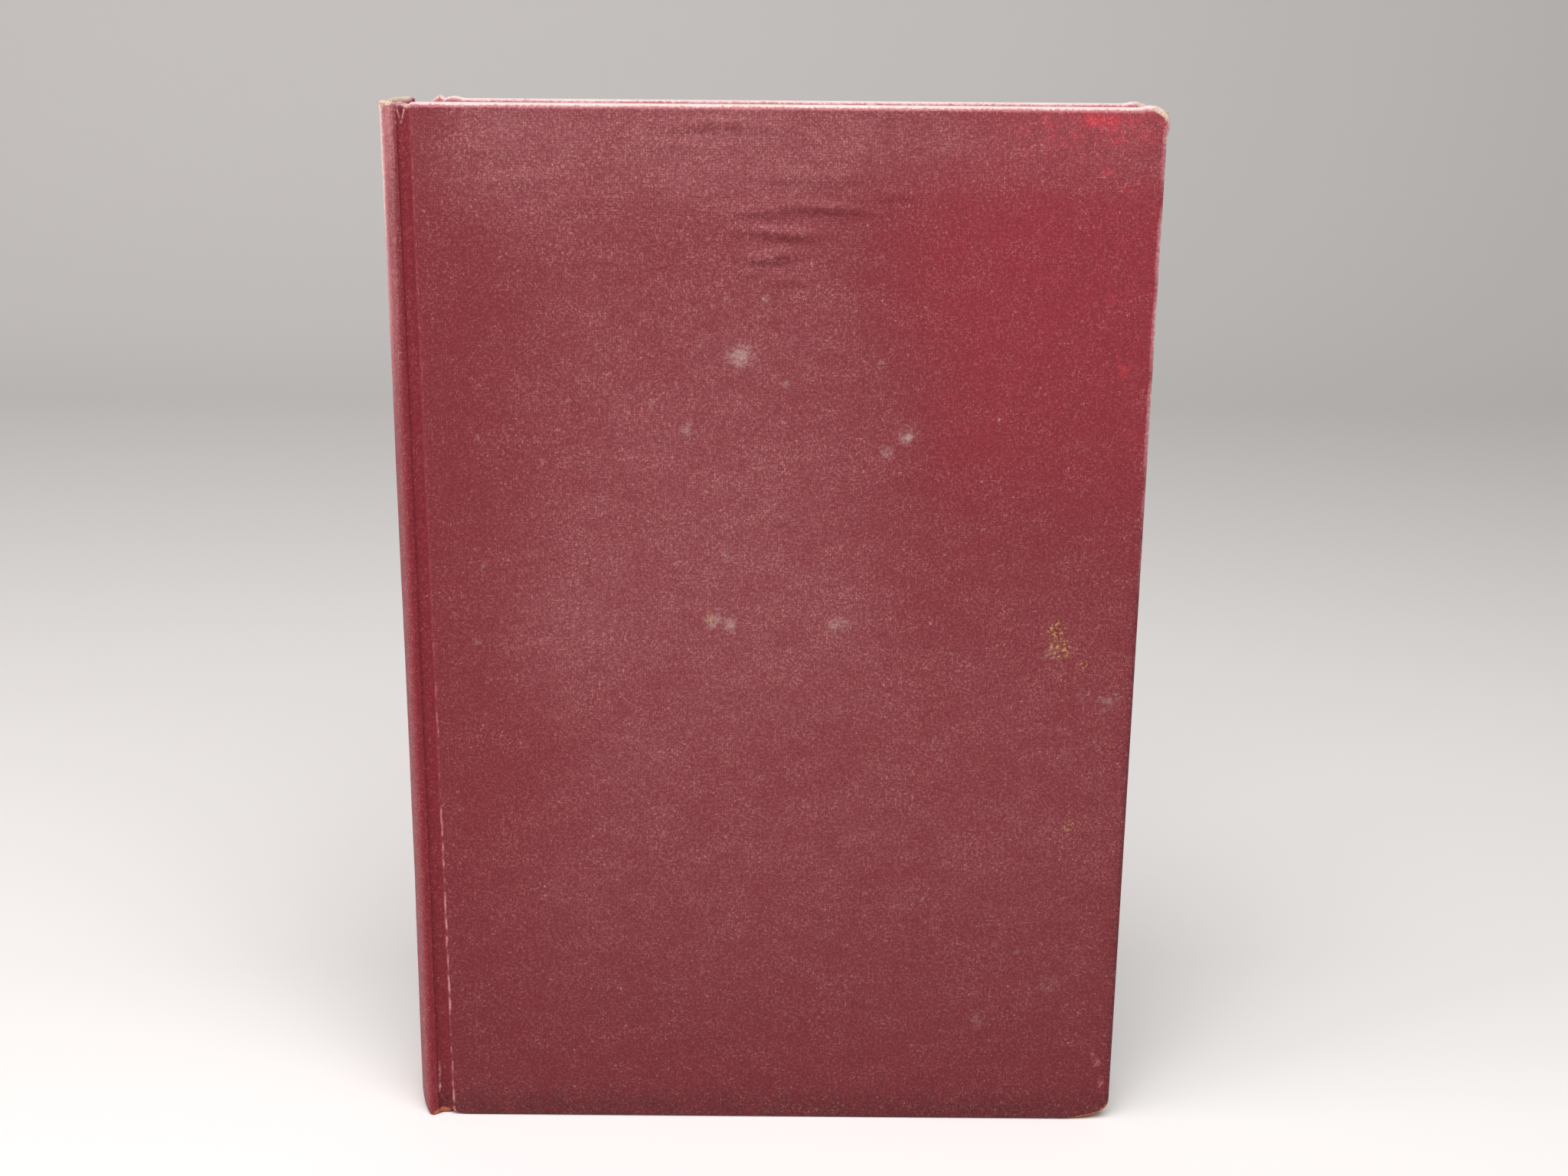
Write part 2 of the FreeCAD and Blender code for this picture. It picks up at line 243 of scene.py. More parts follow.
def book_cloth_material():
    made, tree, place, noises = material(
        "book_cloth_rolled_cotton",
        (1 / GRAIN_MM, 3.0, 0.6, 0.6), (0.8 / GRAIN_MM, 3.0, 0.65, 1.4),
        (0.045, 3.0, 0.6), (0.17, 4.0, 0.65), (0.5, 3.0, 0.65),
        (0.6, 4.0, 0.6, 0.0, (1.0, 1.0, 0.28)), (0.22, 4.0, 0.6, 0.0, (0.6, 1.0, 1.0)),
        (1.7, 2.0, 0.6, 0.8), (1.0, 5.0, 0.75, 0.6), (1.3, 2.0), (1.4, 4.0, 0.75), (2.2, 3.0, 0.6),
    )
    pebbles, ridges, clouds, patches, mottle, streaks, drifts, specks, spores, leaf, ragged, tufts = noises
    veil, fresh, rub, sunk, bare, tan, soot, mildew, gilt, vivid = (
        add(tree, "ShaderNodeAttribute", attribute_name=mark)["Fac"] for mark in MARKS
    )
    threads = [
        add(tree, "ShaderNodeTexWave", place, 1 / (3.18 * THREAD_MM), 2.2, 2.0, bands_direction=axis)["Fac"]
        for axis in ("X", "Z")
    ]
    ridge = add(tree, "ShaderNodeMath", weighted(tree, -0.5, (1.0, ridges)), operation="ABSOLUTE")[0]
    pebble, ridge = product(tree, (pebbles, 0.34, 0.70)), product(tree, (ridge, 0.0, 0.075, 1.0, 0.0))
    relief = weighted(tree, 0.0, (0.45, pebble), (0.38, ridge), (0.085, threads[0]), (0.085, threads[1]))

    uneven = weighted(tree, -0.4, (1.05, drifts), (1.15, mottle), (0.6, clouds))
    bright = weighted(tree, -0.5, (1.0, vivid), (1.0, mottle))
    cluster = product(tree, (drifts, 0.40, 0.64, 0.45, 0.95))
    bloom = weighted(tree, -0.95, (1.0, mildew), (1.9, spores))
    worn, thin, open_cloth = (
        weighted(tree, -0.475, (1.0, mark), (0.95, ragged)) for mark in (rub, tan, bare)
    )
    rubbed = product(tree, (worn, 0.28, 0.72), (rub, 0.03, 0.15))
    gone = product(tree, (open_cloth, 0.36, 0.66), (bare, 0.05, 0.2))

    # Among these layers, the dusty pink also paints sheen, the fresh and vivid reds partly paint light from
    # above, and the deep red paints shade.
    layers = [
        (FRESH_AND_LIT_RED, fresh, (streaks, 0.3, 0.7, 0.6, 1.0)),
        (DUSTY_SHEEN_PINK, veil, uneven, (relief, 0.1, 0.75, 0.55, 1.3)),
        (CLOTH_VIVID, (bright, 0.25, 0.85), (vivid, 0.02, 0.2)),
        (CLOTH_SUNK, sunk, (mottle, 0.3, 0.7, 0.6, 1.0)),
        (PAINTED_SHADE_RED, soot, (patches, 0.3, 0.7, 0.6, 1.0)),
        (FIBRE_PINK, (relief, 0.50, 0.86), cluster, weighted(tree, 0.3, (0.32, veil))),
        (DUST_SPECK, (specks, 0.64, 0.72), cluster, 0.5),
    ]
    for per_mm, size, share in ((0.16, 0.055, 0.55), (0.33, 0.085, 0.70)):
        dots = add(tree, "ShaderNodeTexVoronoi", place, Scale=per_mm, feature="F1")
        chance = add(tree, "ShaderNodeSeparateColor", dots["Color"])
        dot = (dots["Distance"], 0.4 * size, size, 1.0, 0.0)
        layers.append((DUST_DOT, dot, (chance[0], share, share + 0.1), chance[1]))
    layers += [
        (MILDEW_GREY, (bloom, 0.2, 1.15), (mildew, 0.02, 0.3), 0.7),
        (GILT_OLD, (gilt, 0.1, 0.6), (leaf, 0.53, 0.60)),
    ]
    colour = layered(tree, CLOTH_RED, *layers)
    grain = product(tree, (relief, 0.08, 0.9, 0.80, 1.17))
    grain = add(tree, "ShaderNodeCombineColor", grain, grain, grain)[0]
    colour = layered(tree, colour, (grain, 1.0), way="MULTIPLY")
    fibres = layered(
        tree, BARE_STRAW, (BARE_CREAM, (rub, 0.3, 0.9)), (BARE_TUFT, (tufts, 0.35, 0.7, 0.5, 0.0)),
    )
    # The rubbed pink and the pale fibre also paint the highlight of the lit head edge, the upper fore edge,
    # creases and the upper sides of folds.
    colour = layered(
        tree, colour, (RUBBED_AND_LIT_PINK, rubbed, 0.85), (PALE_FIBRE_AND_HIGHLIGHT, (worn, 0.66, 1.0), 0.92),
        (BARE_TAN, (thin, 0.4, 0.6), (tan, 0.05, 0.2)), (fibres, gone),
    )
    rough = weighted(tree, product(tree, (relief, 0.1, 0.9, 0.72, 0.52)), (0.12, rubbed))
    dress(tree, colour, rough, 0.35, (0.8, 0.18, weighted(tree, relief, (-0.8, gone))))
    return made


book_cloth = book_cloth_material()
print(book_cloth.name, "with", len(book_cloth.node_tree.nodes), "nodes")

# %% [markdown]
# ## Paper, board and the hidden linings
# The leaves are uncoated paper, toned brown at their edges. Seen on edge they are a stack of fine
# lines, each line one leaf. The boards are pressed grey board, which looks like felt where the
# cloth has gone. Mull is an open weave stiff with glue, and kraft paper is brown with long fibres.

# %% Paper and board
FOXED = "#9A7243"
LEAF_MM = 0.25         # one drawn leaf edge; a real leaf is about 0.1 mm, too fine to show


def paper_material(name, face, edge, fibre_mm):
    """Uncoated paper: long fibres, soft clouds of age and a few foxed spots; quite matt."""
    made, tree, _, (fibres, clouds, spots) = material(
        name, (1 / fibre_mm, 4.0, 0.65), (0.03, 3.0, 0.6), (0.22, 3.0, 0.7),
    )
    colour = layered(
        tree, face, (edge, (clouds, 0.2, 0.8, 0.0, 0.45)), (edge, (fibres, 0.5, 0.8), 0.25),
        (FOXED, (spots, 0.68, 0.76), 0.35),
    )
    dress(tree, colour, 0.85, 0.25, (0.4, 0.03, fibres))
    return made


def leaf_edge_material():
    """Trimmed leaves on edge: one line for each leaf, along the stack that "leaf_mm" counts."""
    made, tree, place, (clouds,) = material("book_paper_trimmed", (0.05, 4.0, 0.65))
    leaf = add(tree, "ShaderNodeAttribute", attribute_name="leaf_mm")["Fac"]
    along = add(tree, "ShaderNodeSeparateXYZ", place)
    stack = add(
        tree, "ShaderNodeCombineXYZ", product(tree, along[0], 0.05),
        product(tree, leaf, 1 / LEAF_MM), product(tree, along[2], 0.05),
    )[0]
    lines = add(tree, "ShaderNodeTexNoise", Vector=stack, Scale=1.0, Detail=2.0, Roughness=0.7)["Fac"]
    colour = layered(
        tree, "#9C835C", ("#D6C49C", (lines, 0.3, 0.72)), ("#A98A5C", (clouds, 0.35, 0.75), 0.45),
    )
    dress(tree, colour, 0.9, 0.2, (0.6, 0.1, lines))
    return made


def board_material():
    """Grey board: pressed layers of pulp that split and fray like felt where they are bare."""
    made, tree, _, (fibres, flecks) = material(
        "grey_board_pressed", (1.6, 5.0, 0.7, 0.6, (1.0, 4.0, 1.0)), (3.0, 2.0),
    )
    colour = layered(
        tree, "#B79A72", ("#E3D3AF", (fibres, 0.3, 0.75)), ("#A98E63", (flecks, 0.62, 0.7), 0.5),
    )
    dress(tree, colour, 0.92, 0.2, (0.9, 0.25, fibres))
    return made


def weave_material(name, thread, shade, pitch_mm, axes=("X", "Z")):
    """A plain weave: threads both ways, each pair crossing over and under."""
    made, tree, place, (fuzz,) = material(name, (2.5, 4.0, 0.7))
    waves = [
        add(tree, "ShaderNodeTexWave", place, 1 / (3.2 * pitch_mm), 0.5, 1.0, bands_direction=axis)["Fac"]
        for axis in axes
    ]
    weave = add(tree, "ShaderNodeMath", *waves, operation="MAXIMUM")[0]
    relief = weighted(tree, weave, (0.4, fuzz))
    colour = layered(tree, shade, (thread, (relief, 0.5, 1.2)))
    dress(tree, colour, 0.9, 0.2, (0.6, 0.2, relief))
    return made


leaf_edges = leaf_edge_material()
endpaper = paper_material("endpaper_uncoated", "#DDCFAE", "#C8B48B", 0.35)
kraft = paper_material("kraft_paper_glued", "#8A6A45", "#6F5333", 0.5)
card = paper_material("card_spine_inlay", "#B49A70", "#937A52", 0.4)
grey_board = board_material()
mull_weave = weave_material("mull_open_weave", "#CBBE9A", "#8B7A55", 1.1, ("Y", "Z"))
flange_weave = weave_material("mull_flange_weave", "#CBBE9A", "#8B7A55", 1.1)
finishes = {"text_block": leaf_edges, "mull": mull_weave, "spine_lining": kraft, "spine_inlay": card}
for side_word in ("front", "back"):
    finishes.update({
        side_word + "_board": grey_board, side_word + "_mull_flange": flange_weave,
        side_word + "_pastedown": endpaper, side_word + "_flyleaf": endpaper,
    })
for node, finish in finishes.items():
    frame["nodes"][node].data.materials.clear()
    frame["nodes"][node].data.materials.append(finish)
print("finishes on", len(finishes), "of", len(frame["nodes"]), "solids, the others are dressed below")

# %% [markdown]
# ## Meshes from arrays
# The cloth is one grid of points whose rows and columns crowd where the shape needs them, so it is
# simplest to work out all the points with numpy and hand them over at once. One helper builds a
# mesh with its painted attributes, and the others give smooth unevenness and soft-edged spots.

# %% Mesh helpers
def build(name, points_mm, faces, finish, painted=None, smooth=True):
    """An object from points in mm and faces, with its finish and its painted attributes."""
    mesh = bpy.data.meshes.new(name)
    mesh.from_pydata((np.asarray(points_mm) * MM).tolist(), [], [tuple(int(i) for i in f) for f in faces])
    for label, values in (painted or {}).items():
        layer = mesh.attributes.new(label, "FLOAT", "POINT")
        layer.data.foreach_set("value", np.asarray(values, np.float32))
    mesh.materials.append(finish)
    mesh.polygons.foreach_set("use_smooth", [smooth] * len(mesh.polygons))
    mesh.validate()
    mesh.update()
    piece = bpy.data.objects.new(name, mesh)
    bpy.context.scene.collection.objects.link(piece)
    return piece


def wobble(points, size_mm, seed, stretch=(1, 1, 1)):
    """Smooth noise from -1 to 1 at each point, with features of about that size."""
    scaled = np.asarray(points) / size_mm * np.asarray(stretch) + seed * 17.3
    return np.array([noise.noise(Vector(p)) for p in scaled.reshape(-1, 3)]).reshape(scaled.shape[:-1])


def soft(away, size):
    """1 at no distance, falling smoothly to nothing beyond the size."""
    return np.exp(-((away / size) ** 2))


def broken(points, mean, swing, size_mm, seed, stretch=(1, 1, 1), most=1.0):
    """An uneven strength from 0 to most, as rubbing skips over the cloth."""
    return np.clip(mean + swing * wobble(points, size_mm, seed, stretch), 0, most)


def spaced(stops):
    """Values from stop to stop, each stop being (value, spacing from there on)."""
    values = []
    for (start, step), (end, _) in zip(stops, stops[1:]):
        count = max(1, round(abs(end - start) / step))
        values.extend(np.linspace(start, end, count, endpoint=False))
    return np.array(values + [stops[-1][0]])


def baked(piece):
    """The piece with its modifiers made real, as a plain mesh."""
    graph = bpy.context.evaluated_depsgraph_get()
    mesh = bpy.data.meshes.new_from_object(piece.evaluated_get(graph))
    piece.modifiers.clear()
    piece.data = mesh
    return piece


# %% [markdown]
# ## The line of the cloth across the book
# Cut across, the cloth runs round the spine, over its crest, down into the joint and up over the
# edge of the board. The line is drawn with straight stretches first and then smoothed along its
# length, which rounds each bend as pressed cloth does. It is cut between crest and joint, where
# the surface is straight, into the part that stays with the spine and the part over a cover.

# %% Profile of the cloth
def smoothed_line(corners, spread_mm, step_mm=0.05):
    """The line through the corners, rounded over the spread, and the length along it."""
    corners = np.asarray(corners, float)
    lengths = np.r_[0, np.cumsum(np.linalg.norm(np.diff(corners, axis=0), axis=1))]
    at = np.arange(0, lengths[-1], step_mm)
    line = np.stack([np.interp(at, lengths, corners[:, k]) for k in (0, 1)], -1)
    reach = int(4 * spread_mm / step_mm)
    kernel = np.exp(-0.5 * (np.arange(-reach, reach + 1) * step_mm / spread_mm) ** 2)
    kernel /= kernel.sum()
    before = 2 * line[0] - line[reach:0:-1]
    after = 2 * line[-1] - line[-2:-reach - 2:-1]
    padded = np.concatenate([before, line, after])
    return np.stack([np.convolve(padded[:, k], kernel, "valid") for k in (0, 1)], -1), at


def square_to(line):
    """The direction square to a line of (x, level) at each of its points."""
    slope = np.gradient(line, axis=0)
    away = np.stack([-slope[:, 1], slope[:, 0]], -1)
    return away / np.linalg.norm(away, axis=1)[:, None]


crest_turn = math.asin(crest_level / spine_radius)
arc_turns = np.linspace(-0.35, crest_turn, 60)
arc_line = [(spine_centre - spine_radius * math.cos(t), spine_radius * math.sin(t)) for t in arc_turns]
groove_floor = groove_level - 0.1
profile, profile_at = smoothed_line(
    arc_line + [
        (crest + 2.0, groove_floor),
        (board_edge - 0.35, groove_floor),
        (board_edge + 0.3, cover_face),
        (board_edge + 6, cover_face),
    ],
    0.33,
)
apex_at = profile_at[np.argmin(np.abs(profile[:, 1]))]
seam_x = crest + 1.15
past_crest = profile_at > apex_at + 9
seam_at = np.interp(seam_x, profile[past_crest][:, 0], profile_at[past_crest])


def on_profile(at):
    """Place (x, level) at a distance along the line."""
    return np.stack([np.interp(at, profile_at, profile[:, k]) for k in (0, 1)], -1)


print(f"line {profile_at[-1]:.1f} mm, cut {seam_at - apex_at:.2f} mm from the middle of the spine")

# %% [markdown]
# ## The ends of the cloth
# At head and tail the cloth folds over whatever it covers, board or card, and is turned in by
# 15 mm on the inside. Each edge point is carried round that fold: out and down over the outer
# round, across the thickness, round again, and back along the inside. Worn corners are part of the
# outline: bumped boards are shorter there, so the fold follows the curve.

# %% Folding cloth over an edge
TURN_IN_MM = 15.0
EDGE_ROUND_MM = 0.85
INSIDE_STEPS = (1.2, 3.0, 6.0, 10.0, TURN_IN_MM)


def fold_steps(depth, edge_round):
    """(outward, inward) steps of the fold, starting after the edge of the flat."""
    inner_round = 0.45 * cloth_thickness + 0.2
    steps = []
    for turn in np.linspace(0, math.pi / 2, 6)[1:]:
        steps.append((edge_round * math.sin(turn), edge_round * (1 - math.cos(turn))))
    for turn in np.linspace(0, math.pi / 2, 4):
        steps.append((
            edge_round - inner_round * (1 - math.cos(turn)),
            depth - inner_round * (1 - math.sin(turn)),
        ))
    for inward in INSIDE_STEPS:
        steps.append((edge_round - inward, depth))
    return steps


FOLD_COUNT = len(fold_steps(3, 1))
print("a fold takes", FOLD_COUNT, "steps")


def corner_limit(from_edge, run, rise):
    """How far an elliptical corner pulls the limit in, at a distance from the edge."""
    short = np.clip((run - from_edge) / run, 0, 1)
    return rise * (1 - np.sqrt(1 - short**2))


FRONT, BACK = -1, 1
WORN = {               # how far each corner is worn away, along the board's edge and down it, in mm
    FRONT: {
        "fore_head": (2.6, 2.6), "fore_tail": (10.8, 4.1),
        "spine_head": (1.4, 0.9), "spine_tail": (4.0, 1.6),
    },
    BACK: {
        "fore_head": (3.2, 3.0), "fore_tail": (2.6, 2.4),
        "spine_head": (7.0, 2.2), "spine_tail": (2.0, 1.4),
    },
}
BACK_HEAD_LOW = 1.0    # the back joint's cloth ends lower at the head
BACK_HEAD_BUMPS = ((1.1, 3.3, 0.7), (0.6, 6.2, 0.9))   # height, place and size of its two lumps


def joint_share(x):
    """1 in the joint and beside the spine, 0 on the board."""
    return np.clip((board_edge + 0.4 - x) / 0.8, 0, 1)


def joint_ends(x):
    """The puckered ends of the cloth in the joint: nearly on the floor at the tail, lumpy at the head."""
    tail = 0.1 + 0.25 * np.clip((crest + 0.6 - x) / 1.5, 0, 1)
    head = 0.2 + 0.18 * np.sin((x - crest) * 2.4)
    return tail, head


def ends(x, side):
    """How far from the floor and from the full height the cloth ends at that x."""
    joint, found = joint_share(np.asarray(x, float)), []
    for end, in_joint in zip(("tail", "head"), joint_ends(x)):
        on_board = corner_limit(fore_edge - x, *WORN[side]["fore_" + end])
        on_board += corner_limit(x - board_edge, *WORN[side]["spine_" + end])
        if side == BACK and end == "head":
            in_joint = in_joint + BACK_HEAD_LOW
            for lump, at, size in BACK_HEAD_BUMPS:
                on_board -= lump * soft(x - board_edge - at, size)
        found.append(on_board * (1 - joint) + in_joint * joint)
    return found


def leaning(points):
    """The spine has sagged: it stands out a little more at the tail than at the head."""
    lean = np.interp(points[:, 2], (0, 20, 60, 120, 200, 240), (-1.0, -0.85, -0.42, -0.25, 0.0, 0.05))
    share = np.clip((board_edge - points[:, 0]) / (board_edge - crest), 0, 1)
    moved = points.copy()
    moved[:, 0] += lean * share
    return moved


# %% [markdown]
# ## Wear and painted light, as places on the cloth
# The marks are listed as a restorer would note them: how far from the spine edge and from the head,
# as shares of the board, and how large. Each becomes a soft patch in an attribute, and the
# material breaks it up into specks, so no mark has a hard computer edge. Some of the marks are
# painted light: sheen and highlight near the head and the upper fore edge, and shade towards the tail.

# %% Marks on the covers
MILDEW = [
    (0.437, 0.221, 2.6, 1.0), (0.437, 0.221, 4.6, 0.55), (0.667, 0.295, 1.9, 0.95), (0.667, 0.295, 3.4, 0.5),
    (0.400, 0.472, 2.4, 0.8), (0.425, 0.475, 2.2, 0.7), (0.572, 0.475, 1.8, 0.8), (0.580, 0.475, 3.2, 0.5),
    (0.365, 0.290, 1.5, 0.8), (0.350, 0.250, 1.3, 0.6), (0.318, 0.263, 1.3, 0.55), (0.330, 0.270, 2.4, 0.35),
    (0.077, 0.298, 1.1, 0.65), (0.067, 0.493, 1.4, 0.7), (0.078, 0.420, 1.2, 0.5), (0.080, 0.533, 1.2, 0.5),
    (0.195, 0.323, 1.0, 0.7), (0.230, 0.325, 1.0, 0.7), (0.202, 0.263, 1.1, 0.5), (0.500, 0.245, 1.3, 0.6),
    (0.547, 0.213, 1.2, 0.5), (0.472, 0.170, 1.5, 0.55), (0.420, 0.170, 1.3, 0.5), (0.323, 0.610, 2.2, 0.45),
    (0.230, 0.613, 1.8, 0.45), (0.630, 0.227, 1.4, 0.6), (0.511, 0.377, 1.2, 0.6), (0.385, 0.210, 2.2, 0.4),
    (0.640, 0.310, 2.4, 0.5), (0.905, 0.303, 2.2, 0.4), (0.880, 0.500, 4.0, 0.35), (0.795, 0.890, 2.6, 0.45),
    (0.900, 0.850, 3.2, 0.45), (0.710, 0.757, 1.0, 0.7), (0.960, 0.550, 2.6, 0.6), (0.930, 0.545, 2.4, 0.4),
    (0.420, 0.410, 2.2, 0.45), (0.175, 0.480, 1.6, 0.35), (0.130, 0.600, 2.2, 0.3), (0.560, 0.750, 1.3, 0.4),
    (0.815, 0.806, 1.1, 0.5), (0.850, 0.812, 1.0, 0.5), (0.975, 0.545, 1.6, 0.5), (0.955, 0.600, 1.2, 0.4),
]
GILT = [
    (0.885, 0.478, 2.0, 0.9), (0.892, 0.497, 2.4, 1.0), (0.925, 0.513, 1.2, 0.9),
    (0.915, 0.677, 1.2, 0.9), (0.395, 0.470, 1.6, 0.5), (0.560, 0.480, 1.0, 0.5),
]
# Bright red patches near the head and the upper fore edge, partly painted sheen from the light above.
BRIGHT_RED = [
    (0.900, 0.010, 3.4, 0.72), (0.925, 0.012, 3.0, 0.70), (0.913, 0.022, 1.6, 0.6),
    (0.935, 0.028, 1.3, 0.7), (0.920, 0.056, 1.7, 0.6), (0.949, 0.070, 1.7, 0.55),
    (0.965, 0.110, 1.6, 0.5), (0.940, 0.170, 2.2, 0.45), (0.960, 0.230, 3.0, 0.42),
    (0.975, 0.290, 2.4, 0.38), (0.955, 0.330, 2.0, 0.35),
]
RUBBED_SPOTS = [
    (0.978, 0.935, 1.5, 0.62), (0.985, 0.958, 1.2, 0.66), (0.970, 0.925, 1.4, 0.5),
    (0.945, 0.085, 0.5, 0.9), (0.906, 0.040, 0.9, 0.55), (0.938, 0.047, 0.8, 0.5),
]
# Dust and painted sheen: the patches near the head also paint the sheen of the light from above.
DUST_AND_SHEEN = [               # strength, then from, to and softness across the board, and the same down it
    (0.86, (0.06, 0.56, 0.12), (-0.3, 0.08, 0.07)), (0.50, (0.15, 0.62, 0.16), (0.10, 0.52, 0.22)),
    (0.16, (0.40, 0.58, 0.10), (0.17, 0.34, 0.10)), (0.34, (0.12, 1.02, 0.16), (0.42, 0.88, 0.18)),
]
RIPPLES = [            # place, half length, half height and rise in mm of each fold pressed into the cloth
    (0.492, 0.110, 7.0, 1.25, 0.50), (0.474, 0.131, 5.6, 1.35, 0.42), (0.530, 0.089, 9.0, 1.3, 0.38),
    (0.575, 0.090, 5.0, 1.2, 0.22), (0.455, 0.094, 5.0, 1.3, 0.20), (0.500, 0.155, 5.0, 1.2, 0.17),
    (0.450, 0.148, 4.0, 1.1, 0.16), (0.405, 0.018, 10.0, 1.6, 0.26), (0.560, 0.062, 8.0, 1.6, 0.14),
    (0.500, 0.060, 7.0, 1.4, 0.12), (0.360, 0.035, 8.0, 1.7, 0.12), (0.640, 0.078, 8.0, 1.5, 0.12),
    (0.100, 0.040, 6.0, 1.5, 0.15), (0.145, 0.066, 7.0, 1.6, 0.14), (0.230, 0.085, 8.0, 1.8, 0.10),
]


def patch(u, v, marks):
    """The strength of a list of soft round marks at each (u, v)."""
    total = np.zeros_like(u)
    for mark_u, mark_v, radius, strength in marks:
        away = np.hypot((u - mark_u) * width, (v - mark_v) * height)
        total = np.maximum(total, strength * soft(away, radius))
    return total


def fade(value, low, high, edge):
    """1 between low and high, fading to 0 over the edge on both sides."""
    up = 0.5 + 0.5 * np.tanh(2 * (value - low) / edge)
    down = 0.5 - 0.5 * np.tanh(2 * (value - high) / edge)
    return up * down


def paint_cover(points, side, from_rim, slope):
    """The painted layers of a cover's cloth: points in mm, their distance to the rim, and how far
    each leans over, because the upper side of every pressed fold gets painted highlight and the
    lower side painted shade."""
    x, z = points[:, 0], points[:, 2]
    from_head, from_fore, from_spine = height - z, fore_edge - x, x - board_edge
    u, v = from_spine / width, from_head / height
    dust_u, dust_v = u + 0.05 * wobble(points, 38, 51), v + 0.035 * wobble(points, 30, 52)
    # Dust with painted sheen: strongest near the head, where it also stands for the light from above raking
    # the cloth, with a band of painted sheen along the head towards the fore edge.
    veil = sum(part * fade(dust_u, *across) * fade(dust_v, *down) for part, across, down in DUST_AND_SHEEN)
    veil += 0.50 * fade(dust_u, 0.55, 1.30, 0.10) * fade(v, -0.3, 0.06, 0.05)
    # The upper side of each pressed fold gets painted highlight.
    veil = veil * (1 + 0.25 * wobble(points, 26, 3 + side)) + 0.04 + 1.6 * np.clip(-slope, -0.12, 0.35)
    # A fresher red at the top right, partly painted light from above.
    fresh = 0.9 * fade(dust_u, 0.68, 1.4, 0.14) * fade(dust_v, -0.3, 0.34, 0.18)
    # Painted shade: darker towards the tail and at the very foot, along the lower fore edge, and on the
    # lower side of each pressed fold.
    soot = 0.6 * fade(v, 0.975, 1.4, 0.02) + 0.35 * fade(v, 0.80, 1.4, 0.3)
    soot += 0.5 * fade(u, 0.992, 1.4, 0.012) * fade(v, 0.4, 1.4, 0.2) + np.clip(1.9 * slope, 0, 0.6)

    breaks = 0.5 + 0.8 * wobble(points, 7, 12)
    # Rubbing on the edges, with painted highlight where the head edge and the upper fore edge catch the
    # light from above.
    on_head, on_fore = np.clip((3 - from_head) / 1.5, 0, 1), np.clip((3 - from_fore) / 1.5, 0, 1)
    head_rub_and_highlight = (1.02 + 0.12 * wobble(points, 12, 13)) * on_head
    fore_rub_and_highlight = on_fore * (0.25 + 0.62 * fade(v, -0.3, 0.42, 0.2)) * np.clip(breaks + 0.35, 0.4, 1)
    tail_rub = 0.25 * np.clip(breaks, 0, 1)
    ridge = soft(from_spine - 0.62 + 0.25 * wobble(points, 2.5, 19), 0.38)
    ridge *= 0.40 + 0.40 * fade(v, 0.62, 1.3, 0.22)
    ridge *= broken(points, 0.72, 1.1, 2.0, 9, (0.5, 0.5, 1))
    rub = np.maximum(soft(from_rim, 0.85) * np.maximum.reduce([head_rub_and_highlight, fore_rub_and_highlight, tail_rub]), ridge)
    if side == FRONT:
        # Painted highlight on the upper side of each pressed fold, with the rubbed spots.
        rub = np.maximum.reduce([rub, patch(u, v, RUBBED_SPOTS), np.clip(-1.1 * slope - 0.05, 0, 0.42)])
        # Painted highlight along two creases at the head of the joint.
        for start_x, lean in ((1.15, 0.2), (3.3, -0.26)):
            line = soft(x - crest - start_x - lean * from_head, 0.22) * fade(from_head, -1, 4.6, 0.6)
            rub = np.maximum(rub, line * broken(points, 0.75, 0.8, 0.8, 15))
        # Painted shade in the split at the head of the joint.
        soot = np.maximum(soot, 0.85 * soft(x - crest - 2.2, 0.5) * fade(from_head, 0.8, 3.6, 0.5))
        in_joint = soft(x - crest - 1.6, 0.45) * fade(v, 0.94, 0.985, 0.012)
        rub = np.maximum(rub, in_joint * broken(points, 0.45, 0.9, 0.9, 14, most=0.9))

    reach = (3.9 if side == FRONT else 4.6) + 0.9 * wobble(points, 1.6, 44)
    layers = dict.fromkeys(MARKS, np.zeros_like(u))
    layers.update(
        veil=np.clip(veil, 0.0, 1.25), fresh=np.clip(fresh, 0, 1), soot=np.clip(soot, 0, 1), rub=rub,
        sunk=np.clip((1.1 - from_spine) / 1.4, 0, 1), mildew=0.6 * patch(0.9 - u, v * 1.07, MILDEW[::3]),
        bare=soft(from_rim, 0.8) * np.clip((reach - np.hypot(from_fore, from_head)) / 1.4, 0, 1),
    )
    if side == FRONT:
        tail_corner = np.clip((1.3 - np.clip(from_fore / 9.5 + z / 5.2, 0, 3)) / 0.35, 0, 1)
        # The bright red along the head at the fore corner is painted sheen.
        head_corner = fade(dust_u, 0.74, 1.4, 0.1) * fade(v, -0.3, 0.05, 0.05)
        layers.update(
            tan=np.maximum.reduce([
                0.75 * soft(from_rim, 0.8) * tail_corner,
                0.62 * soft(from_spine - 0.5, 0.7) * soft(z - 2.0, 0.9),
                0.8 * soft(from_spine + 1.6, 1.6) * soft(z - 0.8, 0.95),
            ]),
            mildew=patch(u, v, MILDEW), gilt=patch(u, v, GILT),
            vivid=np.maximum(patch(u, v, BRIGHT_RED), 0.42 * head_corner),
        )
    return layers


# %% [markdown]
# ## The cloth of a cover
# Columns run from the cut beside the spine, through the joint, across the board to its fore edge.
# Rows run from tail to head. Dents and the faint ripples near the head are pressed into the grid
# itself; the material adds the grain, and painted highlight on the upper side of each ripple and
# painted shade on its lower side. Bumped corners have spread outwards like a mushroom. The open
# grid gets the cloth's real thickness from Solidify, inwards, so that the turned-in edges are as
# thick as they should be.

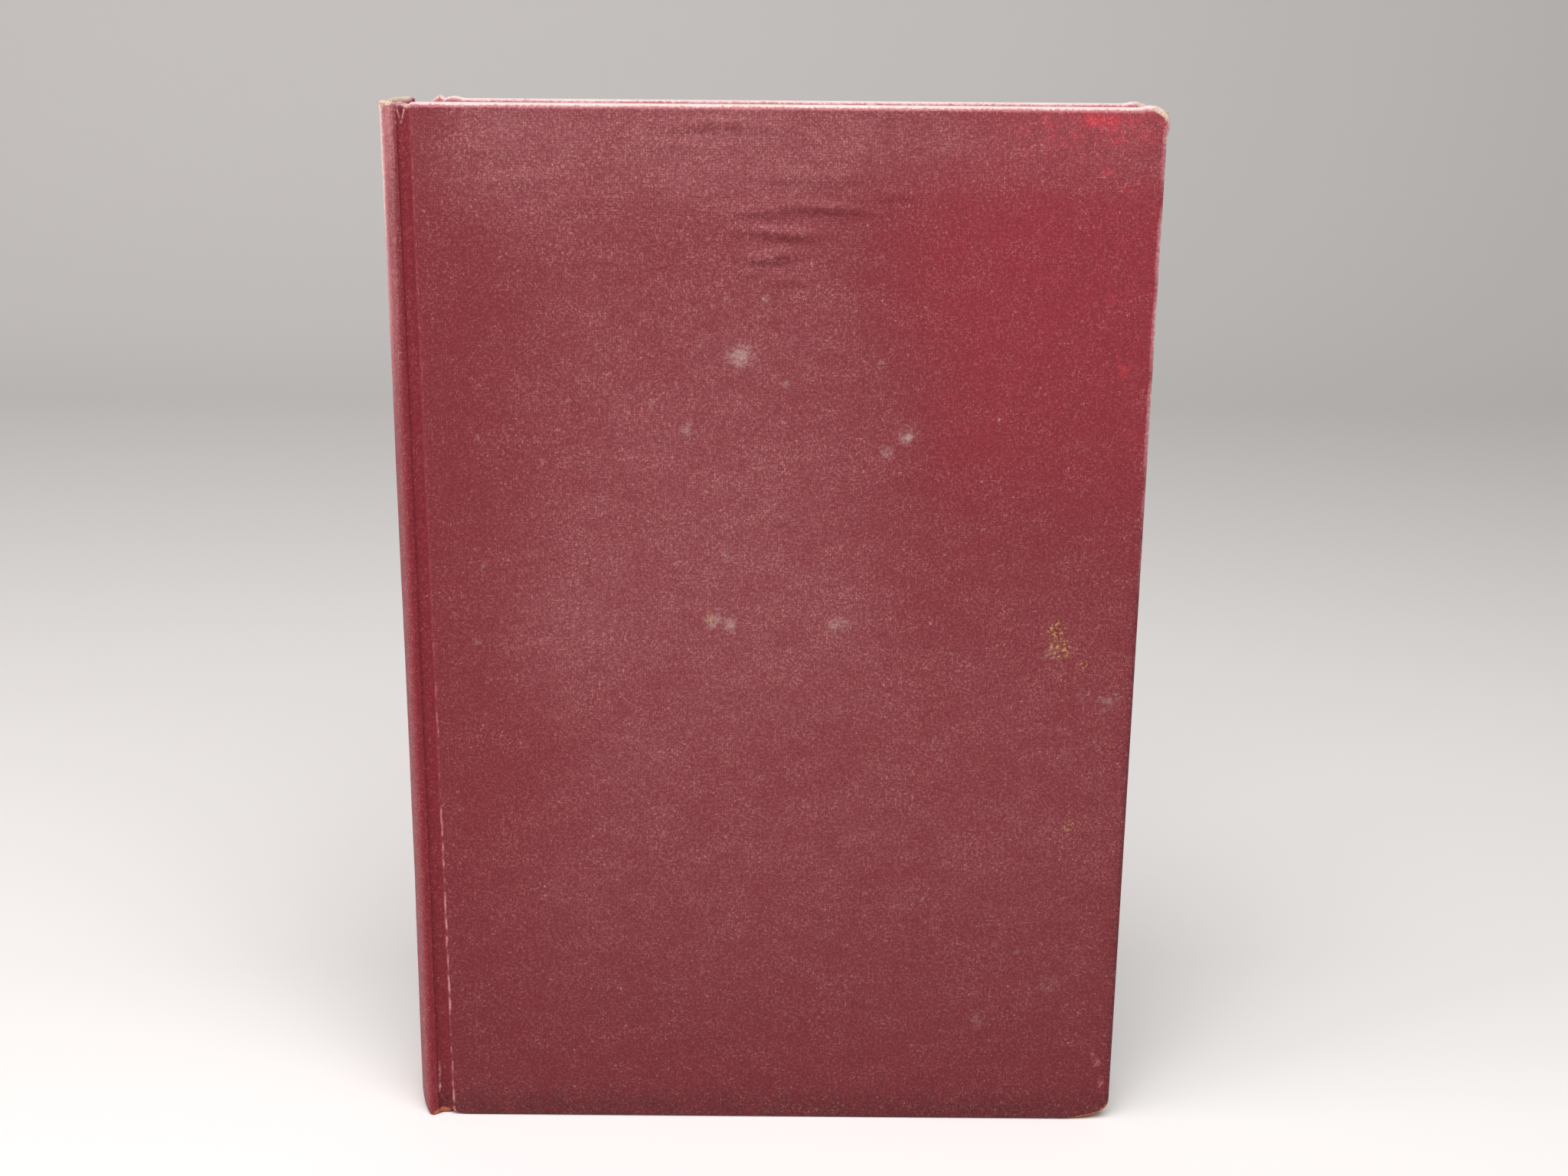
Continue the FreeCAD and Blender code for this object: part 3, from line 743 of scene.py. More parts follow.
# %% Shaping helpers for the cloth
JOINT_ROUND_MM = 0.35  # cloth without board in it folds this tightly
JOINT_RUN_MM, JOINT_STEP_MM = 6.4, 0.27
CORNER_MM = 2.7        # the round of the bumped corners
# How far each step of the fold lies from the worn line of the rim:
FOLD_FROM_RIM = (0.5, 0.3, 0.1, 0, 0, 0, 0.1, 0.2, 0.3, 0.9, 2.5, 5, 9, 14)


def grid_faces(columns, rows):
    """The faces of a grid of points that is stored column by column."""
    return [
        (i * rows + j, (i + 1) * rows + j, (i + 1) * rows + j + 1, i * rows + j + 1)
        for i in range(columns - 1) for j in range(rows - 1)
    ]


def standing(x, level, z):
    """A grid of points: x and level for each column, z for each column and row."""
    across = [np.broadcast_to(values[:, None], z.shape) for values in (x, level)]
    return np.stack([*across, z], -1)


def mushroomed(points):
    """Bumped fore corners at the head, pushed outwards all round and a little frayed."""
    away_x, away_z = points[:, 0] - (fore_edge - CORNER_MM), points[:, 2] - (height - CORNER_MM)
    away = np.hypot(away_x, away_z) + 1e-6
    ring = soft(away - CORNER_MM, 1.3) * np.clip((away_x + away_z + 1.2) / 2.5, 0, 1)
    amount = ring * (0.5 + 0.22 * wobble(points, 1.3, 41))
    swell = soft(np.hypot(fore_edge - 1 - points[:, 0], height - 1 - points[:, 2]), 2.6)
    outside = np.clip((points[:, 1] - turn_in_level - 1) / 1.5, 0, 1)
    return points + np.stack([away_x / away * amount, swell * outside * 0.22, away_z / away * amount], -1)


def thickened(piece):
    """The sheet given the cloth's real thickness, inwards."""
    thick = piece.modifiers.new("thickness", "SOLIDIFY")
    thick.thickness = cloth_thickness * MM
    thick.offset = -1
    thick.use_rim = True
    return baked(piece)


# %% The sheet over a cover
def cover_grid(side, fine, coarse):
    """The open sheet of a cover by column and row, how far from floor and full height its columns
    end, and the slope of its folds."""
    joint_line = on_profile(np.arange(seam_at, seam_at + JOINT_RUN_MM, JOINT_STEP_MM))
    flat_start, far_flat = joint_line[-1, 0], fore_edge - EDGE_ROUND_MM
    run = max(WORN[side]["fore_head"][0], WORN[side]["fore_tail"][0])
    arc_x = far_flat - run * (1 - np.sin(np.linspace(0, math.pi / 2, 16)))
    flat_x = spaced([
        (flat_start, 0.9), (flat_start + 4, coarse), (board_edge + 0.36 * width, fine),
        (board_edge + 0.66 * width, coarse), (arc_x[0], 1),
    ])
    x = np.r_[joint_line[:-1, 0], flat_x[:-1], arc_x]
    level = np.r_[joint_line[:-1, 1], np.full(len(x) - len(joint_line) + 1, cover_face)]
    to_fore = np.clip((x - flat_start) / (far_flat - flat_start), 0, 1)
    from_floor, from_top = ends(np.minimum(x, far_flat) + EDGE_ROUND_MM * to_fore, side)
    round_at = np.where(x < board_edge, JOINT_ROUND_MM, EDGE_ROUND_MM)
    tail, head = from_floor + round_at, height - from_top - round_at
    share = spaced([(0, 0.3), (2.4, coarse), (height - 45, fine), (height - 3, 0.3), (height, 1)]) / height
    z = tail[:, None] + share[None, :] * (head - tail)[:, None]
    grid = standing(x, level, z)

    flat = grid.reshape(-1, 3)
    from_spine, from_fore, from_head = flat[:, 0] - board_edge, fore_edge - flat[:, 0], height - flat[:, 2]
    near_edge = np.minimum.reduce([flat[:, 2] / 6, from_head / 3, from_fore / 6])
    folds = np.zeros(len(flat))
    for at_u, at_v, long, wide, rise_mm in RIPPLES if side == FRONT else ():
        along = (from_spine - at_u * width) / long
        across = (from_head - at_v * height + 0.5 * np.sin(along * 1.7 + at_v * 90)) / wide
        folds += rise_mm * np.exp(-across**2 - along**2) * np.cos(across * 1.3)
    pressed = 0.05 * wobble(flat, 30, 5 + side) + 0.02 * wobble(flat, 7, 6)
    flat[:, 1] += (pressed + folds) * np.clip((from_spine - 1) / 3, 0, 1) * np.clip(near_edge, 0, 1)
    # How steeply each fold leans, for its painted highlight and shade.
    slope = np.gradient(folds.reshape(z.shape), axis=1) / np.gradient(z, axis=1)
    return flat.reshape(grid.shape), from_floor, from_top, slope.reshape(-1)


def turned_in(grid):
    """The rim of a cover's sheet, as columns and rows, and the rings of points that fold it in."""
    columns, rows = grid.shape[:2]
    rim = [(i, 0) for i in range(columns)] + [(columns - 1, j) for j in range(1, rows)]
    rim += [(i, rows - 1) for i in range(columns - 2, -1, -1)]
    edge = np.array([grid[i, j] for i, j in rim])
    along = np.gradient(edge[:, [0, 2]], axis=0)
    outward = np.stack([along[:, 1], -along[:, 0]], -1)
    outward /= np.linalg.norm(outward, axis=1)[:, None]
    on_joint = edge[:, 0] < board_edge + 0.1
    outward[on_joint & (edge[:, 2] < height / 2)] = (0, -1)
    outward[on_joint & (edge[:, 2] > height / 2)] = (0, 1)
    on_board = np.clip((edge[:, 0] - board_edge + 0.3) / 1.2, 0, 1)
    depth = 2 * cloth_thickness + (board_depth - 2 * cloth_thickness) * on_board
    rounding = JOINT_ROUND_MM + (EDGE_ROUND_MM - JOINT_ROUND_MM) * on_board
    steps = np.array([fold_steps(d, r) for d, r in zip(depth, rounding)])
    rings = []
    for k in range(FOLD_COUNT):
        out, deep = steps[:, k].T
        ring = edge + np.stack([outward[:, 0] * out, -deep, outward[:, 1] * out], -1)
        if k >= FOLD_COUNT - len(INSIDE_STEPS):
            inward = EDGE_ROUND_MM - out
            ring[:, 0] = np.clip(ring[:, 0], board_edge - 5, fore_edge - inward)
            ring[:, 2] = np.clip(ring[:, 2], inward, height - inward)
        rings.append(ring)
    return rim, rings


# %% Cloth of a cover
def cover_cloth(side, fine, coarse):
    """The worn cloth of one cover, with fine or coarse columns where it does and doesn't ripple."""
    grid, from_floor, from_top, slope = cover_grid(side, fine, coarse)
    rim, rings = turned_in(grid)
    columns, rows = grid.shape[:2]
    faces = grid_faces(columns, rows)
    previous = [i * rows + j for i, j in rim]
    for k in range(FOLD_COUNT):
        current = [columns * rows + k * len(rim) + m for m in range(len(rim))]
        faces += [(previous[m + 1], previous[m], current[m], current[m + 1]) for m in range(len(rim) - 1)]
        previous = current
    points = np.concatenate([grid.reshape(-1, 3)] + rings)

    x, z = grid[..., 0], grid[..., 2]
    from_rim = np.minimum.reduce([z - from_floor[:, None], height - from_top[:, None] - z, fore_edge - x])
    from_rim = np.r_[from_rim.reshape(-1) - 0.25, np.repeat(FOLD_FROM_RIM, len(rim))]
    slope = np.r_[slope, np.zeros(len(points) - len(slope))]
    layers = paint_cover(points, side, np.clip(from_rim, 0, None), slope)
    inside = points[:, 1] < turn_in_level + 0.3
    for label in ("tan", "mildew", "gilt", "vivid"):
        layers[label] = layers[label] * np.where(inside, 0.3, 1.0)

    points = leaning(mushroomed(points)) * (1, side, 1)
    if side == BACK:
        faces = [tuple(reversed(f)) for f in faces]
    name = "front_cloth_worn" if side == FRONT else "back_cloth_worn"
    piece = thickened(build(name, points, faces, book_cloth, layers))
    for vertex in piece.data.vertices:
        vertex.co.y = side * max(side * vertex.co.y, turn_in_level * MM)
    body, node = ("front_cover", "front_cloth") if side == FRONT else ("back_cover", "back_cloth")
    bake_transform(piece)
    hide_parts(node)
    return piece


for made in (cover_cloth(FRONT, 0.85, 1.5), cover_cloth(BACK, 1.8, 2.2)):
    print(made.name, len(made.data.polygons), "faces")

# %% [markdown]
# ## The cloth of the spine
# The middle of the same cloth, from one joint round to the other, is pasted over a strip of card.
# It stands proud of the shelf side of the book, so light has bleached it to a greyish pink, and
# its ends are bumped: rounded off at the tail, frayed open at the head. Its columns follow the
# line drawn above, mirrored to the other side.

# %% Cloth of the spine
def spine_ends(x):
    """How far from the floor and from the full height the spine cloth ends, at that x."""
    tail_joint, head_joint = joint_ends(x)
    near_joint = np.clip((x - crest + 0.3) / 0.9, 0, 1)
    tail = corner_limit(x - apex, 4.9, 6.3)
    head = 0.12 + corner_limit(x - apex, 1.6, 0.7)
    return tail + tail_joint * near_joint, head * (1 - near_joint) + head_joint * near_joint


def spine_layers(points):
    """The painted layers of the spine: bleached, rubbed at both ends, creased and torn at the head,
    with painted highlight along the creases and painted shade in the tear and along the foot.
    """
    x, z = points[:, 0], points[:, 2]
    from_head, front_half = height - z, points[:, 1] < 0
    v = from_head / height
    pink_to = crest + 0.2 + 1.6 * fade(v, -0.3, 0.20, 0.3)
    on_spine = np.clip((pink_to - x) / 1.3, 0, 1)
    outer = np.clip((crest - 1.2 - x) / 1.6, 0, 1)
    bleach = (0.10 + 0.10 * outer + 0.80 * fade(v, -0.3, 0.24, 0.3) * (0.55 + 0.45 * outer)) * on_spine
    rubbing = 0.75 + 0.35 * fade(v, -0.3, 0.10, 0.15)
    head_fold = np.minimum(from_head, 3)
    # Painted highlight along a crease at the head.
    crease = soft(x - crest - 0.9 - from_head * 0.06, 0.35) * fade(from_head, 1.0, 6.5, 1.0) * front_half
    # Painted shade: a dark slit in the tear at the head.
    tear_shade = soft(from_head - 2.0, 0.45) * fade(x, apex + 1.4, crest - 0.9, 0.5) * front_half
    layers = dict.fromkeys(MARKS, np.zeros(len(points)))
    layers.update(
        veil=np.clip((0.85 + 0.2 * wobble(points, 15, 31)) * on_spine, 0, 1), sunk=1 - on_spine,
        rub=np.maximum.reduce([
            0.9 * soft(head_fold, 1.0) + 0.35 * soft(z, 0.9),
            bleach * broken(points, rubbing, 0.6, 9, 32, (1, 1, 0.25), most=1.1),
            0.8 * crease * broken(points, 0.6, 1.0, 0.9, 34),
        ]),
        bare=0.95 * soft(head_fold, 0.85) * fade(x, apex + 0.3, crest + 0.3, 0.5),
        tan=0.85 * soft(x - crest - 1.3, 1.4) * soft(z - 0.8, 0.9) * front_half,
        # A fresher red near the head, partly painted light from above; painted shade in the tear and along
        # the foot, where the spine meets the floor.
        fresh=0.7 * fade(v, -0.3, 0.2, 0.2), soot=np.clip(tear_shade + 0.6 * soft(z, 1.2) * on_spine, 0, 1),
    )
    return layers


def spine_cloth_piece():
    """The worn cloth of the spine, folded in over the card at both ends."""
    half = on_profile(spaced([(apex_at, 0.7), (seam_at - JOINT_RUN_MM / 2, JOINT_STEP_MM), (seam_at, 1)]))
    line = np.concatenate([half[::-1] * (1, -1), half[1:]])
    facing = square_to(line)
    from_floor, from_top = spine_ends(line[:, 0])
    share = spaced([(0, 0.3), (8, 1.6), (height - 14, 0.7), (height - 4, 0.3), (height, 1)]) / height
    columns, rows = len(line), len(share)
    tail, head = from_floor + JOINT_ROUND_MM, height - from_top - JOINT_ROUND_MM
    grid = standing(*line.T, tail[:, None] + share[None, :] * (head - tail)[:, None])
    flat = grid.reshape(-1, 3)
    free = np.clip((seam_x - 0.9 - flat[:, 0]) / 2, 0, 1)
    pressed = 0.07 * wobble(flat, 22, 21) + 0.03 * wobble(flat, 5, 22)
    pressed += soft(height - flat[:, 2], 2.2) * (0.12 + 0.15 * wobble(flat, 2.5, 23))
    flat[:, :2] += np.repeat(facing, rows, axis=0) * (pressed * free)[:, None]
    grid = flat.reshape(grid.shape)

    faces = grid_faces(columns, rows)
    on_card = np.clip((crest + 0.4 - line[:, 0]) / 1.0, 0, 1)
    steps = np.array([fold_steps(2 * cloth_thickness + 0.5 * c, JOINT_ROUND_MM) for c in on_card])
    points = [flat]
    count = columns * rows
    for end_row, outward in ((0, -1), (rows - 1, 1)):
        previous = [i * rows + end_row for i in range(columns)]
        for k in range(FOLD_COUNT):
            ring = grid[:, end_row].copy()
            ring[:, :2] -= facing * steps[:, k, 1:]
            ring[:, 2] += outward * steps[:, k, 0]
            points.append(ring)
            current = [count + m for m in range(columns)]
            count += columns
            for m in range(columns - 1):
                face = (previous[m], previous[m + 1], current[m + 1], current[m])
                faces.append(face if outward > 0 else tuple(reversed(face)))
            previous = current
    points = np.concatenate(points)
    piece = thickened(build("spine_cloth_worn", leaning(points), faces, book_cloth, spine_layers(points)))
    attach(piece, "book_block")
    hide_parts("spine_cloth")
    return piece


spine_piece = spine_cloth_piece()
print(spine_piece.name, len(spine_piece.data.polygons), "faces")

# %% [markdown]
# ## The leaves
# The leaves are sewn in folded sections, rounded at the spine, and hammered outwards there into
# two shoulders that hold the boards. They were cut on three sides before that, so the fore edge
# became hollow when the spine became round. Bundles of leaves of slightly different length are
# enough to look like a stack, and an attribute says which leaf a point belongs to, so the material
# can draw the leaves as lines that follow the flare at the shoulders.

# %% Leaves
SPINE_RISE, SHOULDER_RUN, FORE_HOLLOW = 2.8, 3.2, 3.0
leaves_low, leaves_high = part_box("text_block")
leaf_tail, leaf_head, leaf_fore = leaves_low.z / MM, leaves_high.z / MM, leaves_high.x / MM
block_apex, shoulder_level = leaves_low.x / MM, leaves_high.y / MM
block_half = -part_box("front_flyleaf")[1].y / MM
block_radius = (SPINE_RISE**2 + shoulder_level**2) / (2 * SPINE_RISE)
shoulder_base = block_apex + SPINE_RISE + SHOULDER_RUN


def leaf_path(share, short):
    """Places (x, level) from spine to fore edge of the leaf at that share of the thickness."""
    level = shoulder_level * share
    start = block_apex + block_radius - math.sqrt(block_radius**2 - level**2)
    places = []
    for step in np.linspace(0, 1, 6):
        ease = step * step * (3 - 2 * step)
        places.append((start + (shoulder_base - start) * step, level + (block_half * share - level) * ease))
    end = leaf_fore - FORE_HOLLOW * (1 - share**2) - short
    return places + [(x, block_half * share) for x in (-40.0, 0.0, 40.0, end)]


def leaves_piece(bundles=100):
    """The stack of leaves in bundles, each a little shorter or longer than the next."""
    draw = np.random.default_rng(11)
    points, leaf_mm = [], []
    for k in range(bundles):
        gather = 0.05 * math.sin(k * 0.9)
        short, low, high = draw.uniform(0, 0.16, 3) + (gather + 0.05, 0.02, 0.02)
        for share in (2 * k / bundles - 1, 2 * (k + 1) / bundles - 1):
            path = leaf_path(share, short)
            points += [(x, level, leaf_tail + low) for x, level in path]
            points += [(x, level, leaf_head - high) for x, level in reversed(path)]
            leaf_mm += [block_half * share] * (2 * len(path))
    around = 2 * len(path)
    rings = 2 * bundles
    faces = [
        (
            (r + 1) * around + m, (r + 1) * around + (m + 1) % around,
            r * around + (m + 1) % around, r * around + m,
        )
        for r in range(rings - 1) for m in range(around)
    ]
    for ring, turn in ((0, -1), (rings - 1, 1)):
        for m in range(len(path) - 1):
            face = [ring * around + i for i in (m, m + 1, around - 2 - m, around - 1 - m)]
            faces.append(tuple(face[::turn]))
    piece = build("text_block_leaves", points, faces, leaf_edges, {"leaf_mm": leaf_mm}, smooth=False)
    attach(piece, "book_block")
    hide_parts("text_block")
    return piece


leaves = leaves_piece()
print(leaves.name, len(leaves.data.polygons), "faces")

# %% [markdown]
# ## The paper in the joints
# Each endpaper is one folded sheet: half is pasted to the board, half is the first leaf, and its
# fold lies in the joint. Opened, the joint shows paper and not cloth. The fold is made as two strips:
# one stays on the shoulder of the leaves, the other lines the cloth of the joint.
# It lies under the cloth that is turned in at head and tail, so it covers that too.

# %% Paper in the joints
PAPER_MM = 0.08


def paper_strip(name, line, side, low_z, high_z):
    """A thin closed strip of paper that follows a line of (x, level), its face towards the leaves."""
    line = np.asarray(line, float)
    rows = spaced([(low_z, 12), (high_z, 1)])
    count, tall = len(line), len(rows)
    sheets = [line, line + square_to(line) * PAPER_MM]
    points = [(x, side * level, z) for sheet in sheets for x, level in sheet for z in rows]
    face = np.array(grid_faces(count, tall))
    other = face[:, ::-1] + count * tall
    rim = [(i, 0) for i in range(count)] + [(count - 1, j) for j in range(1, tall)]
    rim += [(i, tall - 1) for i in range(count - 2, -1, -1)] + [(0, j) for j in range(tall - 2, -1, -1)]
    at = [i * tall + j for i, j in rim]
    edges = [(b, a, a + count * tall, b + count * tall) for a, b in zip(at, at[1:])]
    faces = [tuple(f) for f in face] + [tuple(f) for f in other] + edges
    if side == FRONT:
        faces = [tuple(reversed(f)) for f in faces]
    return build(name, points, faces, endpaper)


paper_low, paper_high = leaf_tail + 0.6, leaf_head - 0.6
over_leaf, over_board = block_half + 0.23, turn_in_level - 0.24
under = groove_floor - 2 * cloth_thickness - 0.16
for side, word in ((FRONT, "front"), (BACK, "back")):
    flare = [(x, level + 0.03) for x, level in reversed(leaf_path(1.0, 0.0)[:6])]
    shoulder = [(flare[0][0] + 3, over_leaf), (flare[0][0] + 0.2, over_leaf)] + flare[1:]
    shoulder = smoothed_line(shoulder, 0.2)[0][::8]
    strip = paper_strip(word + "_shoulder_paper", shoulder, side, paper_low, paper_high)
    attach(strip, "book_block")
    joint = smoothed_line([
        (seam_x - 0.1, groove_level - 0.24), (seam_x + 0.65, under + 0.16), (board_edge - 0.3, under),
        (board_edge + 0.1, turn_in_level + 0.3),
        (board_edge + 0.3, over_board), (board_edge + 3.2, over_board),
    ], 0.12)[0][::3]
    lining = paper_strip(word + "_joint_paper", joint, side, paper_low, paper_high)
    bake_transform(lining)
    for piece in (strip, lining):
        print(piece.name, len(piece.data.polygons), "faces")

# %% [markdown]
# ## The bands at head and tail
# A band is a cord wound with thread, on a tape that is glued to the ends of the sections. It fills
# the gap between the leaves and the spine, and helps when the book is pulled off a shelf by its
# head. Winding is one ring repeated along an arc, so Geometry Nodes make it: the arc is divided by
# the thickness of the thread, a ring stands across it at each point, and every few rings the
# colour changes. The tape is plain and stays a simple strip.

# %% A tree with named inputs
def new_tree(name, sizes, from_points=False):
    """A node tree and its inputs: points if asked for, sizes by name and value, and the finish."""
    tree = bpy.data.node_groups.new(name, "GeometryNodeTree")
    if from_points:
        tree.interface.new_socket("Points", in_out="INPUT", socket_type="NodeSocketGeometry")
    for label, value in sizes.items():
        kind = "NodeSocketInt" if isinstance(value, int) else "NodeSocketFloat"
        tree.interface.new_socket(label, in_out="INPUT", socket_type=kind).default_value = value
    tree.interface.new_socket("Finish", in_out="INPUT", socket_type="NodeSocketMaterial")
    tree.interface.new_socket("Geometry", in_out="OUTPUT", socket_type="NodeSocketGeometry")
    return tree, add(tree, "NodeGroupInput")


def finish_tree(tree, given, geometry):
    """Makes the copies real, gives them the finish and sends them out."""
    real = add(tree, "GeometryNodeRealizeInstances", Geometry=geometry)[0]
    finished = add(tree, "GeometryNodeSetMaterial", Geometry=real, Material=given["Finish"])[0]
    add(tree, "NodeGroupOutput", finished)


def grown(name, tree, inputs, points_mm=()):
    """An object made by a tree, baked to a plain mesh."""
    mesh = bpy.data.meshes.new(name)
    mesh.from_pydata([tuple(c * MM for c in p) for p in points_mm], [], [])
    piece = bpy.data.objects.new(name, mesh)
    bpy.context.scene.collection.objects.link(piece)
    growth = piece.modifiers.new("growth", "NODES")
    growth.node_group = tree
    for socket in tree.interface.items_tree:
        if socket.in_out == "INPUT" and socket.name in inputs:
            growth[socket.identifier] = inputs[socket.name]
    return baked(piece)


# %% Winding a band
def band_tree():
    """Rings of thread along an arc of cord, in two colours that a "stripe" attribute tells apart."""
    tree, given = new_tree("wound_band", {
        "Centre": 0.0, "Level": 0.0, "Radius": 0.019, "Half Angle": 0.46, "Cord": 0.0009, "Thread": 0.0005,
    })
    arc = add(
        tree, "GeometryNodeCurveArc", mode="RADIUS", Resolution=40, Radius=given["Radius"],
        Start_Angle=weighted(tree, math.pi, (-1.0, given["Half Angle"])),
        Sweep_Angle=product(tree, given["Half Angle"], 2.0),
    )[0]
    middle = add(tree, "ShaderNodeCombineXYZ", given["Centre"], None, given["Level"])[0]
    arc = add(tree, "GeometryNodeTransform", Geometry=arc, Translation=middle)[0]
    along = add(tree, "GeometryNodeCurveToPoints", mode="LENGTH", Curve=arc, Length=given["Thread"])
    ring = add(tree, "GeometryNodeCurvePrimitiveCircle", Resolution=10, Radius=given["Cord"])[0]
    radius = product(tree, given["Thread"], 0.55)
    strand = add(tree, "GeometryNodeCurvePrimitiveCircle", Resolution=5, Radius=radius)[0]
    loop = add(tree, "GeometryNodeCurveToMesh", ring, strand)[0]
    loops = add(
        tree, "GeometryNodeInstanceOnPoints", Points=along["Points"], Instance=loop,
        Rotation=along["Rotation"],
    )[0]
    fourth = product(tree, add(tree, "GeometryNodeInputIndex")[0], 0.25)
    turn = add(tree, "ShaderNodeMath", fourth, operation="FLOOR")[0]
    stripe = add(tree, "ShaderNodeMath", turn, 2.0, operation="MODULO")[0]
    loops = add(
        tree, "GeometryNodeStoreNamedAttribute", data_type="FLOAT", domain="INSTANCE",
        Geometry=loops, Name="stripe", Value=stripe,
    )[0]
    cord = add(tree, "GeometryNodeCurveToMesh", Curve=arc, Profile_Curve=ring, Fill_Caps=True)[0]
    finish_tree(tree, given, add(tree, "GeometryNodeJoinGeometry", [loops, cord])[0])
    return tree


def band_material():
    """Cotton thread: matt, a little fuzzy, browned with age; the stripe attribute picks the colour."""
    made, tree, _, (fuzz,) = material("cotton_thread_wound", (3.0, 3.0, 0.7))
    stripe = add(tree, "ShaderNodeAttribute", attribute_name="stripe")["Fac"]
    colour = layered(tree, "#CDBD96", ("#8C4A42", stripe), ("#A08A62", (fuzz, 0.35, 0.75, 0.0, 0.35)))
    dress(tree, colour, 0.9, 0.2, (0.6, 0.08, fuzz))
    return made


def tape_piece(name, radii, low_z, high_z, half_angle):
    """A strip of cloth round the back of the leaves."""
    turns = np.linspace(-half_angle, half_angle, 25)
    section = ((radii[0], low_z), (radii[1], low_z), (radii[1], high_z), (radii[0], high_z))
    points = [
        (spine_centre - radius * math.cos(t), radius * math.sin(t), z)
        for t in turns for radius, z in section
    ]
    faces = [
        (4 * k + (m + 1) % 4, 4 * k + 4 + (m + 1) % 4, 4 * k + 4 + m, 4 * k + m)
        for k in range(len(turns) - 1) for m in range(4)
    ]
    last = 4 * len(turns) - 4
    faces += [(3, 2, 1, 0), (last, last + 1, last + 2, last + 3)]
    return build(name, points, faces, mull_weave, smooth=False)


# %% Both bands
BAND_CORD_MM, BAND_THREAD_MM, BAND_HALF_ANGLE = 0.62, 0.5, math.radians(26.0)
BEAD_FROM_END_MM = 0.9
bead_radius, tape_radii = spine_radius - 2.25, (spine_radius - 1.86, spine_radius - 1.37)
wound, thread_finish = band_tree(), band_material()
for name in ("headband", "tailband"):
    low_z, high_z = (corner.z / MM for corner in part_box(name))
    if name == "headband":
        bead_z = high_z - BEAD_FROM_END_MM
        tape_z = (low_z, bead_z)
    else:
        bead_z = low_z + BEAD_FROM_END_MM
        tape_z = (bead_z, high_z)
    bead = grown(name + "_wound", wound, {
        "Centre": spine_centre * MM, "Level": bead_z * MM, "Radius": bead_radius * MM,
        "Half Angle": BAND_HALF_ANGLE, "Cord": BAND_CORD_MM * MM, "Thread": BAND_THREAD_MM * MM,
        "Finish": thread_finish,
    })
    tape = tape_piece(name + "_tape", tape_radii, *tape_z, BAND_HALF_ANGLE)
    for piece in (bead, tape):
        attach(piece, "book_block")
        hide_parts(name)
    print(name, len(bead.data.polygons), "faces in the winding")

# %% [markdown]
# ## Frayed fibres
# Where cloth has burst open, at the head of the spine and on the bumped corners, its cotton stands
# out as short curled fibres. They are one bent strand with three sides, set on scattered points
# with a turn and a length of its own each time.

# %% Fibres on scattered points
def fray_tree():
    """One bent strand on every point, each with a turn and a length of its own."""
    sizes = {"Length": 0.0008, "Thickness": 0.00005, "Seed": 3}
    tree, given = new_tree("frayed_fibres", sizes, from_points=True)
    strand = add(
        tree, "GeometryNodeCurveArc", mode="RADIUS", Resolution=5, Radius=given["Length"], Sweep_Angle=1.1,
    )[0]
    thin = add(tree, "GeometryNodeCurvePrimitiveCircle", Resolution=3, Radius=given["Thickness"])[0]
    strand = add(tree, "GeometryNodeCurveToMesh", Curve=strand, Profile_Curve=thin, Fill_Caps=True)[0]
    away = add(tree, "ShaderNodeCombineXYZ", product(tree, given["Length"], -1.0))[0]
    strand = add(tree, "GeometryNodeTransform", Geometry=strand, Translation=away)[0]
    turn = add(
        tree, "FunctionNodeRandomValue", (-3.1,) * 3, (3.1,) * 3,
        data_type="FLOAT_VECTOR", Seed=given["Seed"],
    )[0]
    size = add(tree, "FunctionNodeRandomValue", None, None, 0.4, 1.2, Seed=given["Seed"])[1]
    copies = add(
        tree, "GeometryNodeInstanceOnPoints", Points=given["Points"], Instance=strand,
        Rotation=turn, Scale=size,
    )[0]
    finish_tree(tree, given, copies)
    return tree


def fibre_material():
    """Bare cotton and glue: cream, matt, with some of the red left on it."""
    made, tree, _, (red_left,) = material("cotton_fibre_frayed", (1.1, 2.0))
    dress(tree, layered(tree, "#E6D6B4", ("#D59A92", (red_left, 0.45, 0.62))), 0.95)
    return made


fray, fibre_finish = fray_tree(), fibre_material()
for name, body, centre, spread, count, seed in (
    (
        "spine_head_fray", "book_block", (crest - 0.7, -(crest_level - 1.3), height - 0.25),
        (1.5, 1.3, 0.3), 46, 5,
    ),
    (
        "front_corner_fray", "front_cover", (fore_edge - 0.7, -(cover_face - 1.2), height - 1.1),
        (1.0, 1.6, 0.9), 34, 6,
    ),
    (
        "back_corner_fray", "back_cover", (fore_edge - 1.3, cover_face - 1.8, height - 0.6),
        (1.6, 1.6, 0.5), 34, 7,
    ),
):
    scattered = np.random.default_rng(seed).normal(0, 0.5, (count, 3)) * spread + centre
    tuft = grown(name, fray, {"Seed": seed, "Finish": fibre_finish}, scattered)
    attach(tuft, body)
    print(name, len(tuft.data.polygons), "faces")

# %% [markdown]
# ## The floor and the light
# A plain pale floor runs up behind the book into a plain backdrop. A large soft lamp hangs above
# the camera, as a ceiling light does, so it rakes the cloth near the head and leaves the foot
# darker. A second one stands at the left like a window and lights the spine and the edges. The
# world fills the rest, at a level where colours render as written.

# %% Floor
FLOOR_HALF_WIDTH, FLOOR_FRONT, BEND_START, BEND_RADIUS, WALL_TOP = 4.0, -3.0, 0.9, 0.6, 3.0


